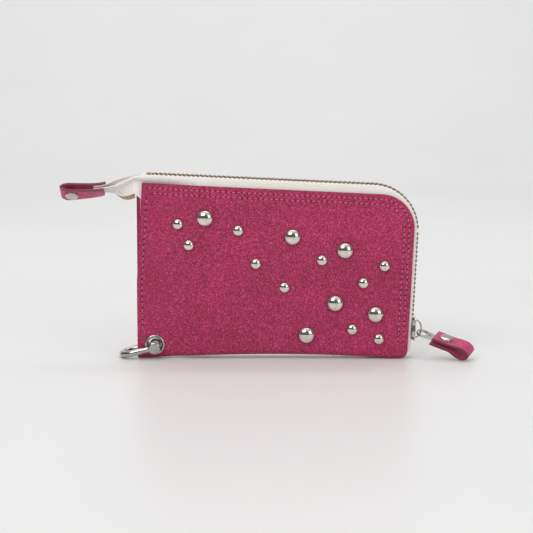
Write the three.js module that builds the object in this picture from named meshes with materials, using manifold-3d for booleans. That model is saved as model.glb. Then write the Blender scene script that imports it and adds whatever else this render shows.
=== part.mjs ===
// Studded leather wallet with an L-shaped zip, a pull tab, a tail tab and a screw shackle.
// Millimetres. +X runs along the fold towards the slider, +Y away from the studs, +Z up.
import * as THREE from 'three';
import { mergeVertices } from 'three/addons/utils/BufferGeometryUtils.js';
import Module from 'manifold-3d';

const wasm = await Module();
wasm.setup();

// ---- driving dimensions ----
const FOLD_LENGTH = 152.3;
const LEFT_HEIGHT = 99.4;
const LEAN = THREE.MathUtils.degToRad(2.64);
const CORNER_RADIUS = 19;
const FOOT_ROUNDING = 4;
const LEFT_LEAN_START = 43;
const LEFT_LEAN_SHIFT = 3.4;
const LEATHER = 1.6;
const TAPE_BEND_ROOM = 1.4;
const SEAM_INNER_HALF = 1.5;
const SEAM_WIDTH = 17;
const PINCH_WIDTH = 16;
const FOLD_INNER_RADIUS = 1.5;
const ARCH_RISE = 2.3;
const ARCH_FOOT = 10;
const SHEET_MARGIN = 12;
const SHEET_GAP = 0.2;
const FIT_GAP = 0.25;

const TAPE = 0.5;
const TAPE_DEPTH = 15;
const CHAIN_TOP_RISE = 4.5;
const CHAIN_SIDE_RISE = 1.4;
const CHAIN_CORNER_RADIUS = 25;
const CHAIN_HALF_WIDTH = 3;
const CHAIN_THICKNESS = 2.6;
const TOOTH_PITCH = 2.54;
const TOOTH_WIDTH = 0.9;
const TOOTH_SHOULDER = 0.12;
const TOOTH_SPINE = [0.7, 1.3];
const TOOTH_REACH = [-0.45, CHAIN_HALF_WIDTH];
const FIRST_TOOTH_X = 9;
const TAPE_CLOSES_IN = [1.6, 4.2];

const LINING = 0.4;
const LINING_INSET = 2;
const LINING_FOOT_Z = 6.2;
const CARD_SHEET = 0.4;
const CARD_SLOT_LEFT = 38;
const CARD_SLOT_RIGHT_MARGIN = 14;
const CARD_SLOT_DROPS = [47.6, 59.6];

const SLIDER_LENGTH = 13;
const SLIDER_FOOT = 10;
const SLIDER_PLATE = 1;
const SLIDER_HALF_WIDTH = 5.2;
const SLIDER_INNER_HALF_WIDTH = 3.4;
const SLIDER_CLEARANCE = 0.4;
const BRIDGE_HALF_LENGTH = 5.3;
const BRIDGE_HEIGHT = 3.7;
const BRIDGE_BAND = 0.8;
const BRIDGE_WIDTH = 2;
const PIVOT_RISE = 1.2;
const PIVOT_DOWN = 2;

const PULLER_THICKNESS = 1.4;
const PULLER_HALF_WIDTH = 2.8;
const PULLER_BACK_BAR = 0.45;
const PULLER_CHAMFER = 2;
const PULLER_WINDOW_CHAMFER = 1.2;
const PULLER_RING_HALF_WIDTH = 3.4;
const PULLER_WINDOW_HALF_WIDTH = 2.6;
const PULLER_WINDOW_END = 5.4;
const PULLER_SMALL_HOLE_AT = 7.4;
const PULLER_SMALL_HOLE_RADIUS = 0.8;
const PULLER_LENGTH = 20.5;
const PULLER_SIDEWAYS = 0.9;
const TAB_GAP = 0.35;
const PULLER_YAW = THREE.MathUtils.degToRad(-22);
const PULLER_PITCH = THREE.MathUtils.degToRad(17.5);
const PULLER_ROLL = THREE.MathUtils.degToRad(14);

const TAB_LEATHER = 1.4;
const TAB_WIDTH = 11;
const PULL_RIVET_AT = 17;
const RIVET_CAP_RADIUS = 3.7;
const RIVET_CAP_HEIGHT = 1.1;
const RIVET_POST_RADIUS = 1.2;

const TAIL_ROOT_X = -0.8;
const TAPE_FULL_X = 4.5;
const TAIL_TAB_FOLD_X = -43;
const TAIL_TAB_END_X = -18;
const TAIL_TAPE_END_X = -24;
const TAIL_TAB_HALF_GAP = 1.15;
const TAIL_TAPE_WIDTH_SHARE = 0.66;
const TAIL_STRIP = 0.6;
const TAIL_STRIP_SHOWS = 2.6;
const TAIL_RIVET_X = -36.5;
const TAIL_TWIST_AT_TAB = THREE.MathUtils.degToRad(70);
const TAIL_TWIST_AT_FOLD = THREE.MathUtils.degToRad(52);

const EYELET_X = 9.8;
const EYELET_Z = 7.7;
const EYELET_BORE = 4;
const EYELET_WALL = 0.5;
const EYELET_FLANGE_RADIUS = 5.8;
const EYELET_FLANGE = 0.8;

const SHACKLE_BAR_RADIUS = 1.9;
const SHACKLE_PIN_DROP = 1.2;
const SHACKLE_HALF_SPREAD = 6.9;
const SHACKLE_STRAIGHT = 12.2;
const SHACKLE_EAR_RADIUS = 3.5;
const SHACKLE_EAR_THICKNESS = 4;
const PIN_RADIUS = 1.7;
const PIN_HEAD_RADIUS = 3.0;
const PIN_HEAD_THICKNESS = 1.0;
const PIN_SLOT_WIDTH = 0.8;

const STUD_RIM = 0.3;
const LARGE_STUD = { radius: 4.5, height: 3.5, post: 1.2, foot: 1.7, sides: 14 };
const SMALL_STUD = { radius: 3.0, height: 2.5, post: 0.9, foot: 1.4, sides: 12 };
// Places as shares of the fold's length and of the left end's height.
const LARGE_STUD_PLACES = placesFrom([
  [0.254, 0.803], [0.575, 0.697], [0.768, 0.62], [0.733, 0.32], [0.882, 0.256], [0.627, 0.138],
]);
const SMALL_STUD_PLACES = placesFrom([
  [0.153, 0.768], [0.193, 0.65], [0.375, 0.733], [0.44, 0.545], [0.545, 0.41],
  [0.683, 0.565], [0.836, 0.435], [0.914, 0.532], [0.796, 0.17], [0.895, 0.115],
]);

// ---- worked-out values ----
const TAN_LEAN = Math.tan(LEAN);
const INNER_HALF = CHAIN_HALF_WIDTH + TAPE_BEND_ROOM;
const OUTER_HALF = INNER_HALF + LEATHER;
const PINCH_END = SEAM_WIDTH + PINCH_WIDTH;
const TAPE_OUTER = INNER_HALF - SHEET_GAP;
const LINING_OUTER = TAPE_OUTER - TAPE - SHEET_GAP;
const SHEET_TOP = LEFT_HEIGHT + SHEET_MARGIN;
const TAPE_FOOT_Z = LEATHER + FOLD_INNER_RADIUS + 0.6;
const LEFT_SIDE = new THREE.Vector2(-Math.cos(LEAN), Math.sin(LEAN));
const DOWN_SIDE = new THREE.Vector2(-Math.sin(LEAN), -Math.cos(LEAN));
const LEATHER_CORNER = leatherCorner();
const CHAIN_CORNER = LEATHER_CORNER.clone()
  .addScaledVector(LEFT_SIDE, -CHAIN_SIDE_RISE)
  .addScaledVector(DOWN_SIDE, -CHAIN_TOP_RISE);
const SLIDER_TOP = SLIDER_FOOT + SLIDER_LENGTH;

// ---- materials ----
const paint = (color, roughness, metalness = 0) => () =>
  new THREE.MeshStandardMaterial({ color, roughness, metalness });
const pinkLeather = paint(0x9f325a, 0.6);
const tabLeather = paint(0x9c4664, 0.5);
const tanLeather = paint(0xac8b73, 0.7);
const lilacLining = paint(0xcfa9c6, 0.7);
const whiteTape = paint(0xe2dbd5, 0.9);
const zipMetal = paint(0x8f8578, 0.35, 1);
const polishedMetal = paint(0xc9c7c4, 0.15, 1);

const group = new THREE.Group();

function addPiece(name, geometry, material, parent = group) {
  const mesh = new THREE.Mesh(geometry, material());
  mesh.name = name;
  parent.add(mesh);
  return mesh;
}

// ---- geometry helpers ----
function placesFrom(shares) {
  return shares.map(([along, up]) => [along * FOLD_LENGTH, up * LEFT_HEIGHT]);
}

function leatherCorner() {
  const top = new THREE.Vector2(LEFT_LEAN_SHIFT, LEFT_HEIGHT);
  const z = (top.y - (FOLD_LENGTH - top.x) * TAN_LEAN) / (1 + TAN_LEAN * TAN_LEAN);
  return new THREE.Vector2(FOLD_LENGTH + z * TAN_LEAN, z);
}

/** Carries every vertex of a closed geometry to a new place and merges the shared ones. */
function moved(geometry, place) {
  const bare = geometry.index ? geometry.toNonIndexed() : geometry;
  const positions = bare.getAttribute('position');
  const point = new THREE.Vector3();
  for (let i = 0; i < positions.count; i += 1) {
    point.fromBufferAttribute(positions, i);
    positions.setXYZ(i, ...place(point));
  }
  return merged(bare);
}

function merged(geometry) {
  geometry.deleteAttribute('normal');
  geometry.deleteAttribute('uv');
  return mergeVertices(geometry, 1e-4);
}

function toSolid(geometry) {
  const bare = merged(geometry.clone());
  return new wasm.Manifold(new wasm.Mesh({
    numProp: 3,
    vertProperties: new Float32Array(bare.getAttribute('position').array),
    triVerts: new Uint32Array(bare.index.array),
  }));
}

function toGeometry(solid) {
  const mesh = solid.getMesh();
  const geometry = new THREE.BufferGeometry();
  geometry.setAttribute('position', new THREE.BufferAttribute(mesh.vertProperties.slice(), 3));
  geometry.setIndex(new THREE.BufferAttribute(mesh.triVerts.slice(), 1));
  return geometry;
}

const subtractAll = (geometry, cutters) =>
  toGeometry(cutters.reduce((solid, cutter) => solid.subtract(toSolid(cutter)), toSolid(geometry)));

const joinAll = ([first, ...rest]) =>
  toGeometry(rest.reduce((solid, geometry) => solid.add(toSolid(geometry)), toSolid(first)));

/** A round rod from one point to another. */
function rod(from, to, radius, sides = 16) {
  const along = new THREE.Vector3().subVectors(to, from);
  const geometry = new THREE.CylinderGeometry(radius, radius, along.length(), sides);
  const turn = new THREE.Quaternion();
  turn.setFromUnitVectors(new THREE.Vector3(0, 1, 0), along.clone().normalize());
  geometry.applyQuaternion(turn);
  geometry.translate(...from.clone().addScaledVector(along, 0.5));
  return geometry;
}

function box(low, high) {
  const geometry = new THREE.BoxGeometry(high[0] - low[0], high[1] - low[1], high[2] - low[2]);
  geometry.translate((low[0] + high[0]) / 2, (low[1] + high[1]) / 2, (low[2] + high[2]) / 2);
  return geometry;
}

/** Sweeps a section along stations; each station turns a section point into a place. */
function sweep(section, stations) {
  const steps = stations.length - 1;
  const straight = new THREE.ExtrudeGeometry(section, { depth: steps, steps, bevelEnabled: false });
  return moved(straight, (point) => stations[Math.round(point.z)](point.x, point.y));
}

const polygon = (points) => new THREE.Shape(points.map(([x, y]) => new THREE.Vector2(x, y)));

/** Spins a closed profile, given as [radius, height] pairs, about its own axis. */
const spun = (profile, sides) => moved(
  new THREE.LatheGeometry(profile.map(([r, y]) => new THREE.Vector2(r, y)), sides),
  (point) => point.toArray(),
);

// ---- the outline and the folded sheet ----
const between = (value, low, high) => THREE.MathUtils.clamp((value - low) / (high - low), 0, 1);
const pinchAt = (x) => (1 - between(x, SEAM_WIDTH, PINCH_END)) * (INNER_HALF - SEAM_INNER_HALF);
const innerHalfAt = (x) => INNER_HALF - pinchAt(x);

function footAt(x) {
  const along = between(x, ARCH_FOOT, FOLD_LENGTH - ARCH_FOOT);
  return ARCH_RISE * Math.sin(Math.PI * along) ** 0.8;
}

/** The panel's outline, inset by a margin, as a closed shape in X and Z. */
function panelOutline(leans, inset = 0, foot = -1) {
  const shift = leans ? LEFT_LEAN_SHIFT : 0;
  const corner = LEATHER_CORNER.clone().addScaledVector(LEFT_SIDE, inset).addScaledVector(DOWN_SIDE, inset);
  const radius = CORNER_RADIUS - inset;
  const centre = corner.clone().addScaledVector(LEFT_SIDE, radius).addScaledVector(DOWN_SIDE, radius);
  const topLeftX = shift + inset;
  const topLeftZ = corner.y + (corner.x - topLeftX) * TAN_LEAN;
  const outline = new THREE.Shape();
  outline.moveTo(inset, foot);
  outline.lineTo(FOLD_LENGTH - FOOT_ROUNDING, foot);
  if (foot < 0) {
    outline.absarc(FOLD_LENGTH - FOOT_ROUNDING, FOOT_ROUNDING, FOOT_ROUNDING, -Math.PI / 2, 0, false);
  } else {
    outline.lineTo(FOLD_LENGTH + foot * TAN_LEAN - inset, foot);
  }
  outline.absarc(centre.x, centre.y, radius, -LEAN, Math.PI / 2 - LEAN, false);
  outline.lineTo(topLeftX, topLeftZ);
  outline.lineTo(inset, LEFT_LEAN_START);
  return outline;
}

/** The outline extruded along Y between two depths. */
function outlineSlab(outline, fromY, toY, curveSegments = 10) {
  const slab = new THREE.ExtrudeGeometry(outline, { depth: toY - fromY, bevelEnabled: false, curveSegments });
  return moved(slab, ({ x, y, z }) => [x, toY - z, y]);
}

const SHEET_COLUMNS = [
  -SHEET_MARGIN, ARCH_FOOT, SEAM_WIDTH, PINCH_END, 0.32 * FOLD_LENGTH, 0.5 * FOLD_LENGTH,
  0.68 * FOLD_LENGTH, 0.84 * FOLD_LENGTH, FOLD_LENGTH - ARCH_FOOT, FOLD_LENGTH + SHEET_MARGIN,
];

/** Points of the folded sheet's profile at one column, from the back's top to the front's top. */
function profileAt(x, depth) {
  const half = innerHalfAt(x);
  const radius = Math.min(FOLD_INNER_RADIUS, half * 0.6);
  const foot = footAt(x) + LEATHER;
  const points = [[half + depth, SHEET_TOP]];
  const steps = 4;
  for (let i = 0; i <= steps; i += 1) {
    const turn = (i / steps) * Math.PI / 2;
    const y = half - radius + (radius + depth) * Math.cos(turn);
    points.push([y, foot + radius - (radius + depth) * Math.sin(turn)]);
  }
  const front = points.map(([y, z]) => [-y, z]).reverse();
  return [...points, ...front];
}

function foldedSheet() {
  const rows = profileAt(0, 0).length - 1;
  const columns = SHEET_COLUMNS.length - 1;
  const flat = new THREE.BoxGeometry(1, 1, 1, columns, rows, 1);
  return moved(flat, (point) => {
    const x = SHEET_COLUMNS[Math.round((point.x + 0.5) * columns)];
    const [y, z] = profileAt(x, point.z > 0 ? LEATHER : 0)[Math.round((point.y + 0.5) * rows)];
    return [x, y, z];
  });
}

/** A thin sheet that lies beside a panel, a given way in from the leather's inner face. */
function sideSheet(side, wayIn, thickness, outline) {
  const columns = SHEET_COLUMNS.length - 1;
  const flat = new THREE.BoxGeometry(1, 1, 1, columns, 1, 1);
  const bent = moved(flat, (point) => {
    const x = SHEET_COLUMNS[Math.round((point.x + 0.5) * columns)];
    const depth = innerHalfAt(x) - wayIn - (point.y > 0 ? 0 : thickness);
    const z = point.z * side > 0 ? SHEET_TOP : 0;
    return [x, side * depth, z];
  });
  return toGeometry(toSolid(bent).intersect(toSolid(outlineSlab(outline, -OUTER_HALF, OUTER_HALF))));
}

// ---- studs ----
function studFrame([x, z]) {
  const slope = x > SEAM_WIDTH && x < PINCH_END ? (INNER_HALF - SEAM_INNER_HALF) / PINCH_WIDTH : 0;
  const frame = new THREE.Object3D();
  frame.position.set(x, -(innerHalfAt(x) + LEATHER), z);
  frame.rotation.z = Math.PI - Math.atan(slope);
  frame.updateMatrix();
  return frame;
}

function studGeometry({ radius, height, post, foot, sides }) {
  const footTop = -(LEATHER + FIT_GAP / 2);
  const footEnd = -(LEATHER + SHEET_GAP + TAPE);
  const rim = FIT_GAP + STUD_RIM;
  const profile = [
    [0, footEnd], [foot, footEnd], [foot, footTop], [post, footTop],
    [post, FIT_GAP], [radius * 0.93, FIT_GAP],
  ];
  const steps = 4;
  for (let i = 0; i < steps; i += 1) {
    const turn = (i / steps) * Math.PI / 2;
    profile.push([radius * Math.cos(turn), rim + (height - rim) * Math.sin(turn)]);
  }
  profile.push([0, height]);
  return spun(profile, sides);
}

function studHole(place, stud) {
  const hole = new THREE.CylinderGeometry(stud.post + FIT_GAP, stud.post + FIT_GAP, 6 * LEATHER, 10);
  return hole.applyMatrix4(studFrame(place).matrix);
}

function addStuds() {
  const kinds = [
    ['large_stud', LARGE_STUD_PLACES, LARGE_STUD],
    ['small_stud', SMALL_STUD_PLACES, SMALL_STUD],
  ];
  for (const [name, places, stud] of kinds) {
    places.forEach((place, i) => {
      const mesh = addPiece(`${name}_${i + 1}`, studGeometry(stud), polishedMetal);
      const frame = studFrame(place);
      mesh.position.copy(frame.position);
      mesh.rotation.copy(frame.rotation);
    });
  }
}

// ---- leather, linings and card slots ----
function eyeletCutter(radius) {
  const centre = (y) => new THREE.Vector3(EYELET_X, y, EYELET_Z);
  return rod(centre(-20), centre(20), radius, 20);
}

function addLeather() {
  const front = toSolid(outlineSlab(panelOutline(true), -20, 0));
  const back = toSolid(outlineSlab(panelOutline(false), 0, 20));
  const trimmed = toGeometry(toSolid(foldedSheet()).intersect(front.add(back)));
  const holes = [
    ...LARGE_STUD_PLACES.map((place) => studHole(place, LARGE_STUD)),
    ...SMALL_STUD_PLACES.map((place) => studHole(place, SMALL_STUD)),
    eyeletCutter(EYELET_BORE + EYELET_WALL + FIT_GAP),
  ];
  addPiece('outer_leather', subtractAll(trimmed, holes), pinkLeather);
}

function addLinings() {
  const wayIn = 2 * SHEET_GAP + TAPE;
  const hole = eyeletCutter(EYELET_BORE + EYELET_WALL + FIT_GAP);
  for (const [name, side, leans] of [['front_lining', -1, true], ['back_lining', 1, false]]) {
    const sheet = sideSheet(side, wayIn, LINING, panelOutline(leans, LINING_INSET, LINING_FOOT_Z));
    addPiece(name, subtractAll(sheet, [hole]), lilacLining);
  }
}

function addCardSlots() {
  CARD_SLOT_DROPS.forEach((drop, i) => {
    const inner = LINING_OUTER - LINING - SHEET_GAP - i * (CARD_SHEET + SHEET_GAP);
    const foot = LINING_FOOT_Z + 1;
    const low = [CARD_SLOT_LEFT, inner - CARD_SHEET, foot];
    const high = [FOLD_LENGTH - CARD_SLOT_RIGHT_MARGIN, inner, LEFT_HEIGHT - drop];
    addPiece(`card_slot_${i + 1}`, box(low, high), lilacLining);
  });
}

// ---- zip ----
const TOP_RUN_LENGTH = (CHAIN_CORNER.x - TAIL_ROOT_X) / Math.cos(LEAN) - CHAIN_CORNER_RADIUS;
const ARC_LENGTH = CHAIN_CORNER_RADIUS * Math.PI / 2;
const SIDE_RUN_LENGTH = (CHAIN_CORNER.y - TAPE_FOOT_Z) / Math.cos(LEAN) - CHAIN_CORNER_RADIUS;
const ARC_CENTRE = CHAIN_CORNER.clone()
  .addScaledVector(LEFT_SIDE, CHAIN_CORNER_RADIUS)
  .addScaledVector(DOWN_SIDE, CHAIN_CORNER_RADIUS);

/** The zip chain's line: its point and outward direction, a way along from the wallet's left end. */
function chainAt(along) {
  const turn = THREE.MathUtils.clamp((along - TOP_RUN_LENGTH) / CHAIN_CORNER_RADIUS, 0, Math.PI / 2);
  const angle = Math.PI / 2 - LEAN - turn;
  const outward = new THREE.Vector2(Math.cos(angle), Math.sin(angle));
  const point = ARC_CENTRE.clone().addScaledVector(outward, CHAIN_CORNER_RADIUS);
  point.addScaledVector(LEFT_SIDE, Math.max(TOP_RUN_LENGTH - along, 0));
  point.addScaledVector(DOWN_SIDE, Math.max(along - TOP_RUN_LENGTH - ARC_LENGTH, 0));
  return { point, outward };
}

const CHAIN_START_Z = chainAt(0).point.y;
const TAIL_LINE = new THREE.SplineCurve([
  new THREE.Vector2(TAIL_TAB_FOLD_X, CHAIN_START_Z - 7.2),
  new THREE.Vector2(-26, CHAIN_START_Z - 7.5),
  new THREE.Vector2(-18, CHAIN_START_Z - 6.8),
  new THREE.Vector2(-12, CHAIN_START_Z - 5.0),
  new THREE.Vector2(-6, CHAIN_START_Z - 2.8),
  new THREE.Vector2(TAIL_ROOT_X, CHAIN_START_Z - 0.9),
]);

/** How far the tail has turned about its own line at one X. */
function twistAt(x) {
  const entering = between(x, TAIL_TAB_END_X, TAIL_ROOT_X);
  const eased = entering * entering * (3 - 2 * entering);
  const inTab = between(x, TAIL_TAB_FOLD_X, TAIL_TAB_END_X);
  const tabTwist = THREE.MathUtils.lerp(TAIL_TWIST_AT_FOLD, TAIL_TWIST_AT_TAB, inTab);
  return tabTwist * (1 - eased);
}

/** A station of the tail: section points (across, outward) turned about the tail's line. */
function tailStation(x) {
  const point = tailPoint(x);
  const twist = twistAt(x);
  return (across, outward) => [
    point.x,
    across * Math.cos(twist) - outward * Math.sin(twist),
    point.y + across * Math.sin(twist) + outward * Math.cos(twist),
  ];
}

function tailPoint(x) {
  let low = 0;
  let high = 1;
  for (let i = 0; i < 24; i += 1) {
    const middle = (low + high) / 2;
    if (TAIL_LINE.getPoint(middle).x < x) low = middle;
    else high = middle;
  }
  return new THREE.Vector2(x, TAIL_LINE.getPoint(low).y);
}

/** How fully a tape has closed in on the seam, a given way out from the chain's line. */
const sunkAt = (out) => between(-out, ...TAPE_CLOSES_IN);

/** A station of the zip: section points drawn in towards the seam where the panels pinch. */
function chainStation(along) {
  const { point, outward } = chainAt(along);
  return (across, out) => {
    const x = point.x + outward.x * out;
    return [x, across - Math.sign(across) * pinchAt(x) * sunkAt(out), point.y + outward.y * out];
  };
}

const evenly = (from, to, count) =>
  Array.from({ length: count + 1 }, (_, i) => from + (to - from) * i / count);

function tapeSection(side) {
  const outer = TAPE_OUTER;
  const inner = TAPE_OUTER - TAPE;
  const start = CHAIN_HALF_WIDTH + SHEET_GAP;
  const points = [
    [start, TAPE / 2], [outer - 0.35, TAPE / 2], [outer, -0.35],
    ...TAPE_CLOSES_IN.map((out) => [outer, -out]), [outer, -TAPE_DEPTH],
    [inner, -TAPE_DEPTH], ...TAPE_CLOSES_IN.map((out) => [inner, -out]).reverse(),
    [inner, -0.6], [outer - 0.7, -TAPE / 2], [start, -TAPE / 2],
  ];
  return polygon(points.map(([y, out]) => [side * y, out]));
}

function addTapes() {
  const tailXs = evenly(TAIL_TAPE_END_X, TAIL_ROOT_X, 10);
  const topXs = [TAPE_FULL_X, SEAM_WIDTH, PINCH_END, 70].map((x) => (x - TAIL_ROOT_X) / Math.cos(LEAN));
  const arcs = evenly(TOP_RUN_LENGTH, TOP_RUN_LENGTH + ARC_LENGTH, 8).slice(1);
  const end = TOP_RUN_LENGTH + ARC_LENGTH + SIDE_RUN_LENGTH;
  for (const [name, side] of [['front_tape', -1], ['back_tape', 1]]) {
    const tail = tailXs.map((x) => {
      const station = tailStation(x);
      const squeeze = (1 - between(x, TAIL_TAB_END_X, TAIL_ROOT_X)) ** 0.7;
      return (across, out) => station(...squeezedTape(across, out, squeeze));
    });
    const stations = [...tail, ...[...topXs, TOP_RUN_LENGTH, ...arcs, end].map(chainStation)];
    addPiece(name, sweep(tapeSection(side), stations), whiteTape);
  }
}

/** The tapes come together in the tail: full squeeze leaves only the strip's room between them. */
function squeezedTape(across, out, squeeze) {
  const fromOuter = TAPE_OUTER - Math.abs(across);
  const loose = TAPE_OUTER - (INNER_HALF - SEAM_INNER_HALF) * sunkAt(out) - fromOuter;
  const flat = TAPE + TAIL_STRIP / 2 + SHEET_GAP - Math.min(fromOuter, TAPE);
  return [Math.sign(across) * THREE.MathUtils.lerp(loose, flat, squeeze), out * TAIL_TAPE_WIDTH_SHARE];
}

/** One row of teeth: a thin spine that widens to a leg and a head at each tooth. */
function toothRow(side, first, last) {
  const shift = side > 0 ? TOOTH_PITCH / 2 : 0;
  const stations = [];
  const addStation = (along, [low, high]) => stations.push((share, out) => {
    const { point, outward } = chainAt(along);
    const y = side > 0 ? THREE.MathUtils.lerp(low, high, share) : -THREE.MathUtils.lerp(high, low, share);
    return [point.x + outward.x * out, y, point.y + outward.y * out];
  });
  for (let at = first + shift; at + TOOTH_WIDTH <= last; at += TOOTH_PITCH) {
    addStation(at - TOOTH_SHOULDER, TOOTH_SPINE);
    addStation(at, TOOTH_REACH);
    addStation(at + TOOTH_WIDTH, TOOTH_REACH);
    addStation(at + TOOTH_WIDTH + TOOTH_SHOULDER, TOOTH_SPINE);
  }
  const half = CHAIN_THICKNESS / 2;
  return sweep(polygon([[0, -half], [1, -half], [1, half], [0, half]]), stations);
}

const SIDE_RUN_START = TOP_RUN_LENGTH + ARC_LENGTH;
const alongAtZ = (z) => SIDE_RUN_START + (chainAt(SIDE_RUN_START).point.y - z) / Math.cos(LEAN);

function addTeeth() {
  const first = (FIRST_TOOTH_X - TAIL_ROOT_X) / Math.cos(LEAN);
  const last = alongAtZ(SLIDER_FOOT + SLIDER_LENGTH * 0.55);
  for (const [name, side] of [['front_teeth', -1], ['back_teeth', 1]]) {
    addPiece(`${name}_top`, toothRow(side, first, SIDE_RUN_START - 0.5), zipMetal);
    addPiece(`${name}_side`, toothRow(side, SIDE_RUN_START + 0.5, last), zipMetal);
  }
}

function chainBox(along, length, fromY, toY, fromOut, toOut) {
  const straight = box([0, fromY, fromOut], [1, toY, toOut]);
  return moved(straight, ({ x, y, z }) => {
    const { point, outward } = chainAt(along + (x > 0.5 ? length : 0));
    return [point.x + outward.x * z, y, point.y + outward.y * z];
  });
}

function addStops() {
  const half = CHAIN_THICKNESS / 2;
  const start = (FIRST_TOOTH_X - TAIL_ROOT_X) / Math.cos(LEAN) - 2.9;
  addPiece('bottom_stop', chainBox(start, 2.2, -CHAIN_HALF_WIDTH, CHAIN_HALF_WIDTH, -half, half), zipMetal);
  const stop = alongAtZ(SLIDER_FOOT + 2.6);
  addPiece('front_top_stop', chainBox(stop, 2, -CHAIN_HALF_WIDTH, -2, -half + 0.1, half - 0.1), zipMetal);
  addPiece('back_top_stop', chainBox(stop, 2, 2, CHAIN_HALF_WIDTH, -half + 0.1, half - 0.1), zipMetal);
}

// ---- slider, puller and pull tab ----
const PLATE_IN = CHAIN_THICKNESS / 2 + SLIDER_CLEARANCE;
const PLATE_OUT = PLATE_IN + SLIDER_PLATE;

function addSlider() {
  const at = alongAtZ(SLIDER_TOP);
  const piece = (from, to, ...extents) => chainBox(at + from, to - from, ...extents);
  const flange = SLIDER_HALF_WIDTH - 0.8;
  const wedge = diamond(at);
  const body = joinAll([
    piece(0, SLIDER_LENGTH, -SLIDER_HALF_WIDTH, SLIDER_HALF_WIDTH, PLATE_IN, PLATE_OUT),
    piece(0, SLIDER_LENGTH, -SLIDER_HALF_WIDTH, -flange, 0.6, PLATE_OUT - 0.1),
    piece(0, SLIDER_LENGTH, flange, SLIDER_HALF_WIDTH, 0.6, PLATE_OUT - 0.1),
    piece(0, SLIDER_LENGTH, -SLIDER_INNER_HALF_WIDTH, SLIDER_INNER_HALF_WIDTH, -PLATE_OUT, -PLATE_IN),
    wedge,
  ]);
  addPiece('slider_body', body, polishedMetal);
  addPiece('slider_bridge', bridge(at + SLIDER_LENGTH / 2), polishedMetal);
}

/** The wedge that parts the two rows at the slider's mouth. */
function diamond(at) {
  const shape = polygon([[6.4, 0], [10, -1.3], [SLIDER_LENGTH, -1.3], [SLIDER_LENGTH, 1.3], [10, 1.3]]);
  const depth = 2 * PLATE_IN + SLIDER_PLATE;
  const straight = new THREE.ExtrudeGeometry(shape, { depth, bevelEnabled: false });
  return moved(straight, ({ x, y, z }) => {
    const { point, outward } = chainAt(at + x);
    const out = z - depth / 2;
    return [point.x + outward.x * out, y, point.y + outward.y * out];
  });
}

/** The arch that the puller hangs in, standing on the outer plate. */
function bridge(middle) {
  const arch = new THREE.Shape();
  arch.absellipse(0, 0, BRIDGE_HALF_LENGTH, BRIDGE_HEIGHT, 0, Math.PI, false);
  arch.absellipse(0, 0, BRIDGE_HALF_LENGTH - BRIDGE_BAND, BRIDGE_HEIGHT - BRIDGE_BAND, Math.PI, 0, true);
  const options = { depth: BRIDGE_WIDTH, bevelEnabled: false, curveSegments: 10 };
  const straight = new THREE.ExtrudeGeometry(arch, options);
  return moved(straight, ({ x, y, z }) => {
    const { point, outward } = chainAt(middle - x);
    const out = PLATE_OUT + SHEET_GAP + y;
    return [point.x + outward.x * out, z - BRIDGE_WIDTH / 2, point.y + outward.y * out];
  });
}

/** The puller seen from above: a bar with a window for the bridge, a small hole and a rivet hole. */
function pullerGeometry() {
  const back = -PULLER_BACK_BAR;
  const ring = PULLER_RING_HALF_WIDTH;
  const half = PULLER_HALF_WIDTH;
  const shoulder = PULLER_WINDOW_END + 2 * (ring - half);
  const outline = polygon([
    [back, PULLER_CHAMFER - ring], [back + PULLER_CHAMFER, -ring],
    [PULLER_WINDOW_END, -ring], [shoulder, -half],
    [PULLER_LENGTH, -half], [PULLER_LENGTH, half],
    [shoulder, half], [PULLER_WINDOW_END, ring],
    [back + PULLER_CHAMFER, ring], [back, ring - PULLER_CHAMFER],
  ]);
  const side = PULLER_WINDOW_HALF_WIDTH;
  const windowPath = new THREE.Path([
    new THREE.Vector2(PULLER_BACK_BAR + PULLER_WINDOW_CHAMFER, -side),
    new THREE.Vector2(PULLER_BACK_BAR, PULLER_WINDOW_CHAMFER - side),
    new THREE.Vector2(PULLER_BACK_BAR, side - PULLER_WINDOW_CHAMFER),
    new THREE.Vector2(PULLER_BACK_BAR + PULLER_WINDOW_CHAMFER, side),
    new THREE.Vector2(PULLER_WINDOW_END, side), new THREE.Vector2(PULLER_WINDOW_END, -side),
  ]);
  const rivetHole = new THREE.Path();
  rivetHole.absarc(PULL_RIVET_AT, 0, RIVET_POST_RADIUS + FIT_GAP, 0, 2 * Math.PI, true);
  const smallHole = new THREE.Path();
  smallHole.absarc(PULLER_SMALL_HOLE_AT, 0, PULLER_SMALL_HOLE_RADIUS, 0, 2 * Math.PI, true);
  outline.holes.push(windowPath, rivetHole, smallHole);
  const options = { depth: PULLER_THICKNESS, bevelEnabled: false, curveSegments: 5 };
  const plate = new THREE.ExtrudeGeometry(outline, options);
  plate.translate(0, 0, -PULLER_THICKNESS / 2);
  return moved(plate, (point) => point.toArray());
}

/** A flat strip that follows a line in its own long plane: along, height and width. */
function strip(points, width, thickness, count) {
  const curve = new THREE.SplineCurve(points.map(([x, y]) => new THREE.Vector2(x, y)));
  const stations = evenly(0, 1, count).map((t) => {
    const centre = curve.getPoint(t);
    const tangent = curve.getTangent(t);
    return (across, up) => [centre.x - tangent.y * up, across, centre.y + tangent.x * up];
  });
  const half = width / 2;
  const rise = thickness / 2;
  return sweep(polygon([[-half, -rise], [-half, rise], [half, rise], [half, -rise]].reverse()), stations);
}

/** The pull tab's loop round the puller, as points along and up. */
function pullTabLine() {
  const layer = PULLER_THICKNESS / 2 + TAB_GAP + TAB_LEATHER / 2;
  return [
    [10.5, layer], [14, layer], [17.5, layer], [21, layer], [24.8, 2.2], [28.4, 2.2], [31.2, 1.1], [32.3, -0.7],
    [31.2, -2.7], [28.6, -3.6], [25, -3], [21.4, -layer], [17.5, -layer], [13.5, -layer], [9.5, -layer],
  ];
}

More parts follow.
